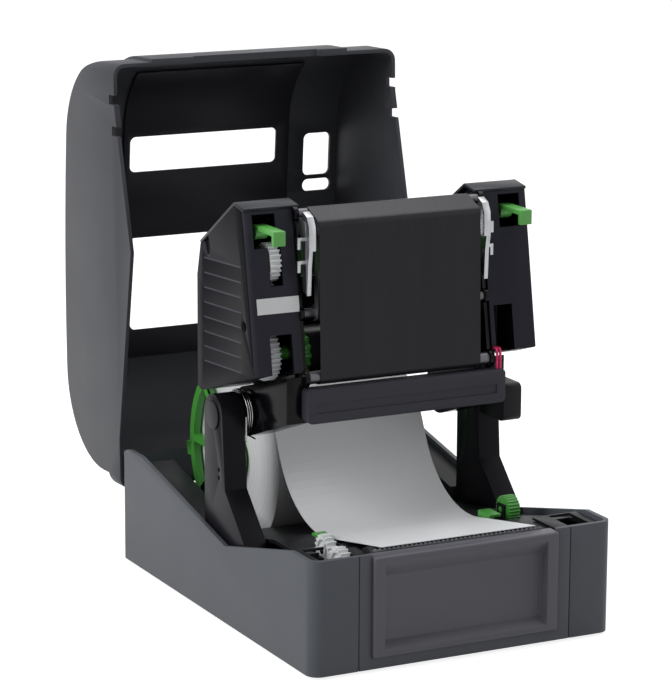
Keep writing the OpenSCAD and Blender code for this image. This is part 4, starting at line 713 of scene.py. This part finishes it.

# The covers' sides are painted darker than their grainy fronts, as painted shade. The floors of
# the grooves, a little below the outer side, are painted lighter, as a painted highlight where
# light catches the grooves.
SIDE_FROM = 0.9                    # the share of x in a normal from which a face is a side
GROOVE_X, GROOVE_SPREAD = -0.0964, 0.0003
tree = cover_black.node_tree
shader = tree.nodes["Principled BSDF"]
side = tree.nodes.new("ShaderNodeNewGeometry")
facing = tree.nodes.new("ShaderNodeSeparateXYZ")
tree.links.new(side.outputs["Normal"], facing.inputs[0])
sideways = tree.nodes.new("ShaderNodeMath")
sideways.operation = "ABSOLUTE"
tree.links.new(facing.outputs["X"], sideways.inputs[0])
outward = tree.nodes.new("ShaderNodeMath")
outward.operation = "GREATER_THAN"
outward.inputs[1].default_value = SIDE_FROM
tree.links.new(sideways.outputs[0], outward.inputs[0])
# Painted shade: faces that face sideways get a darker colour than the covers' fronts.
side_shade = tree.nodes.new("ShaderNodeMix")
side_shade.data_type = "RGBA"
side_shade.inputs["B"].default_value = linear((14, 14, 19))
tree.links.new(outward.outputs[0], side_shade.inputs["Factor"])
tree.links.new(shader.inputs["Base Color"].links[0].from_socket, side_shade.inputs["A"])
place = tree.nodes.new("ShaderNodeTexCoord")
depth = tree.nodes.new("ShaderNodeSeparateXYZ")
tree.links.new(place.outputs["Object"], depth.inputs[0])
sunk = tree.nodes.new("ShaderNodeMath")
sunk.operation = "COMPARE"
sunk.inputs[1].default_value = GROOVE_X
sunk.inputs[2].default_value = GROOVE_SPREAD
tree.links.new(depth.outputs["X"], sunk.inputs[0])
groove_highlight = tree.nodes.new("ShaderNodeMath")
groove_highlight.operation = "MULTIPLY"
tree.links.new(outward.outputs[0], groove_highlight.inputs[0])
tree.links.new(sunk.outputs[0], groove_highlight.inputs[1])
# Painted highlight: where the groove mask is 1, the colour is a lighter grey for the light that
# the grooves catch.
lines = tree.nodes.new("ShaderNodeMix")
lines.data_type = "RGBA"
lines.inputs["B"].default_value = linear((84, 86, 94))
tree.links.new(groove_highlight.outputs[0], lines.inputs["Factor"])
tree.links.new(side_shade.outputs["Result"], lines.inputs["A"])
tree.links.new(lines.outputs["Result"], shader.inputs["Base Color"])
FRONT_FROM, SLOPE_TOP = PIVOT_Y - 44, 162    # the front edge, above the lower slope


def long_edge(e):
    """True for an edge longer than 20 mm."""
    return (e.verts[0].co - e.verts[1].co).length > 0.02


dressed("left_cover", "mechanism", cover_black, edge=0.35,
        cuts=[dish, screw_hole], rounds=[
            (lambda at, e: abs(at.x + COVER_OUT) < 0.2 and at.y < FRONT_FROM
             and at.z > SLOPE_TOP and long_edge(e), 3.0)])
dressed("right_cover", "mechanism", cover_black, edge=0.5, rounds=[
    (lambda at, e: abs(at.x - COVER_OUT) < 0.2 and long_edge(e), 2.2)])
screw = rod("cover_screw", (-COVER_OUT + 4.6, *SCREW_AT), (-COVER_OUT + 3.6, *SCREW_AT),
            SCREW_R, edge=0.4)
finished(screw, plated_steel, "mechanism")
cap_grey = moulded("cap grey", (37, 39, 46), rough=0.3, pits=2000, depth=0.05, shine=0.15)
dressed("top_caps", "mechanism", cap_grey, edge=0.5)

plate_white = moulded("blank plate", (228, 229, 230), rough=0.35, pits=900, depth=0.03,
                      spread=0.03, coat=0.3)
# Lower and upper end of the cover's front face, (y, z) from the pivot in mm
FRONT_LOW, FRONT_HIGH = (-60.2, 36.02), (-49.3, 99.02)
PLATE_X, PLATE_Z, PLATE_OUT = (-92.6, -64.8), (197.2, 206.6), (0.05, 0.25)


def on_front(z, out):
    """A point of the left cover's front face at height z, out mm in front of it."""
    lean = (FRONT_HIGH[1] - FRONT_LOW[1], FRONT_HIGH[0] - FRONT_LOW[0])
    size = math.hypot(*lean)
    y = FRONT_LOW[0] + (z - PIVOT_Z - FRONT_LOW[1]) * lean[1] / lean[0] + PIVOT_Y
    return (y - out * lean[0] / size, z + out * lean[1] / size)


plate = flat_solid("blank_plate", PLATE_X, [
    on_front(PLATE_Z[0], PLATE_OUT[0]), on_front(PLATE_Z[1], PLATE_OUT[0]),
    on_front(PLATE_Z[1], PLATE_OUT[1]), on_front(PLATE_Z[0], PLATE_OUT[1])])
finished(plate, plate_white, "mechanism")


# ---- Sensor bar, wires and lens -----------------------------------------------------------
# A black bar under the ribbon presses on the labels. Two magenta wires leave its right end
# and bend back into the right cover, and a small clear lens sits in that cover's rear wall.

bar_satin = moulded("bar satin", (58, 58, 66), rough=0.34, pits=2100, depth=0.05, shine=0.15)
dressed("sensor_bar", "mechanism", bar_satin, edge=0.8, rounds=[
    (lambda at, e: abs(e.verts[0].co.x - e.verts[1].co.x) > 0.05, 3.2)])
wire_magenta = moulded("wire magenta", (214, 24, 96), rough=0.4, pits=1500, depth=0.05)


def tube_along(name, points, radius):
    """A round tube along points in mm, smoothed as a curve."""
    curve = bpy.data.curves.new(name, "CURVE")
    curve.dimensions = "3D"
    curve.bevel_depth = radius / 1000
    curve.bevel_resolution = 3
    curve.use_fill_caps = True
    line = curve.splines.new("NURBS")
    line.points.add(len(points) - 1)
    for knot, p in zip(line.points, points):
        knot.co = (p[0] / 1000, p[1] / 1000, p[2] / 1000, 1)
    line.use_endpoint_u = True
    line.order_u = 3
    line.resolution_u = 8
    holder = bpy.data.objects.new(name, curve)
    scene.collection.objects.link(holder)
    mesh = bpy.data.meshes.new_from_object(holder.evaluated_get(
        bpy.context.evaluated_depsgraph_get()))
    bpy.data.objects.remove(holder)
    made = bpy.data.objects.new(name, mesh)
    scene.collection.objects.link(made)
    return smoothed(made, 50)


def merged(name, parts):
    """Several made solids as one piece."""
    net = bmesh.new()
    for part in parts:
        net.from_mesh(part.data)
        bpy.data.objects.remove(part)
    return smoothed(from_net(net, name), 40)


wires = merged("wires", [tube_along("wire", [
    (x, -59.0, 150.8), (x, -59.0, 155), (x, -59.0, 160), (x, -58.4, 163.2), (x, -56.6, 163.7),
    (x, -54.8, 163.4)], 0.8) for x in (66, 68.2)])
finished(wires, wire_magenta, "mechanism")
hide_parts("sensor_wires")
lens_clear = moulded("frosted lens", (216, 236, 212), rough=0.3, pits=900, depth=0.05)
repaint("status_lens", lens_clear)


# ---- Ribbon, its bars and spindles --------------------------------------------------------
# A dark glossy film, 110 mm wide, runs from the supply roll under the low bar, over the nose
# of the printhead and the upper bar to the used roll. Green hubs with knobs turn the spindles.

film_dark = bpy.data.materials.new("ribbon film")
film_dark.use_nodes = True
tree = film_dark.node_tree
shader = tree.nodes["Principled BSDF"]
shader.inputs["Specular IOR Level"].default_value = 0.15
place = tree.nodes.new("ShaderNodeTexCoord")
hang = tree.nodes.new("ShaderNodeMapping")
hang.inputs["Scale"].default_value = (1, 0.16, 0.16)
tree.links.new(place.outputs["Object"], hang.inputs["Vector"])
folds = tree.nodes.new("ShaderNodeTexNoise")
folds.inputs["Scale"].default_value = 90
folds.inputs["Detail"].default_value = 3
tree.links.new(hang.outputs[0], folds.inputs["Vector"])
ink = tree.nodes.new("ShaderNodeMix")
ink.data_type = "RGBA"
ink.inputs["A"].default_value = linear((34, 32, 37))
ink.inputs["B"].default_value = linear((46, 44, 50))
tree.links.new(folds.outputs["Fac"], ink.inputs["Factor"])
tree.links.new(ink.outputs["Result"], shader.inputs["Base Color"])
bump = tree.nodes.new("ShaderNodeBump")
bump.inputs["Strength"].default_value = 0.10
bump.inputs["Distance"].default_value = 0.0006
tree.links.new(folds.outputs["Fac"], bump.inputs["Height"])
tree.links.new(bump.outputs["Normal"], shader.inputs["Normal"])
sheen = tree.nodes.new("ShaderNodeMapRange")
sheen.inputs["To Min"].default_value = 0.20
sheen.inputs["To Max"].default_value = 0.34
tree.links.new(folds.outputs["Fac"], sheen.inputs["Value"])
tree.links.new(sheen.outputs[0], shader.inputs["Roughness"])
for name in ("ribbon_film", "supply_ribbon", "rewind_ribbon"):
    repaint(name, film_dark)
bar_steel = metal("dull bar steel", (92, 92, 96), rough=0.4, lines=1400)
repaint("ribbon_bars", bar_steel)
dressed("supply_spindle", "supply", touch_green, edge=0.25, sharp=45)
dressed("rewind_spindle", "rewind", touch_green, edge=0.25, sharp=45)
SPINDLE_GEAR_SIDE = -81.7
gear("supply_gear", "supply", pin("supply_spin"), 6.0, 12.2, SPINDLE_GEAR_SIDE, 4, 3.2)
gear("rewind_gear", "rewind", pin("rewind_spin"), 5.2, 8.6, SPINDLE_GEAR_SIDE, 3, 3.2)
gear("ribbon_link_gear", "link_gear", pin("link_spin"), 5.0, 15.0, SPINDLE_GEAR_SIDE, 5, 2.5)


# ---- Printhead, heat sink and their brackets ----------------------------------------------
# An extruded aluminium heat sink swings on the head's pivot bar and carries the ceramic
# printhead. Bright sheet-metal brackets with two bent hooks each stand beside the ribbon.

sink_aluminium = metal("extruded aluminium", (182, 184, 188), rough=0.4, lines=700, depth=0.1)
repaint("heat_sink", sink_aluminium)
ceramic = moulded("glazed ceramic", (217, 210, 189), rough=0.25, pits=800, depth=0.03, coat=0.3)
repaint("printhead", ceramic)
dressed("head_brackets", "mechanism", plated_steel, edge=0.2)


# ---- Latches and feed button --------------------------------------------------------------
# Green moulded latches stand out of the covers' front, and the feed button with its rounded
# edge stands in the right cover's rear wall.

latch_green = moulded("latch green", (94, 176, 82), rough=0.34, pits=1500, depth=0.05,
                      spread=0.08, shine=0.5)
for side in ("left", "right"):
    dressed("latch_" + side, side + "_latch", latch_green, edge=0.9, sharp=40)
dressed("feed_button", "button", cap_grey, edge=0.5)
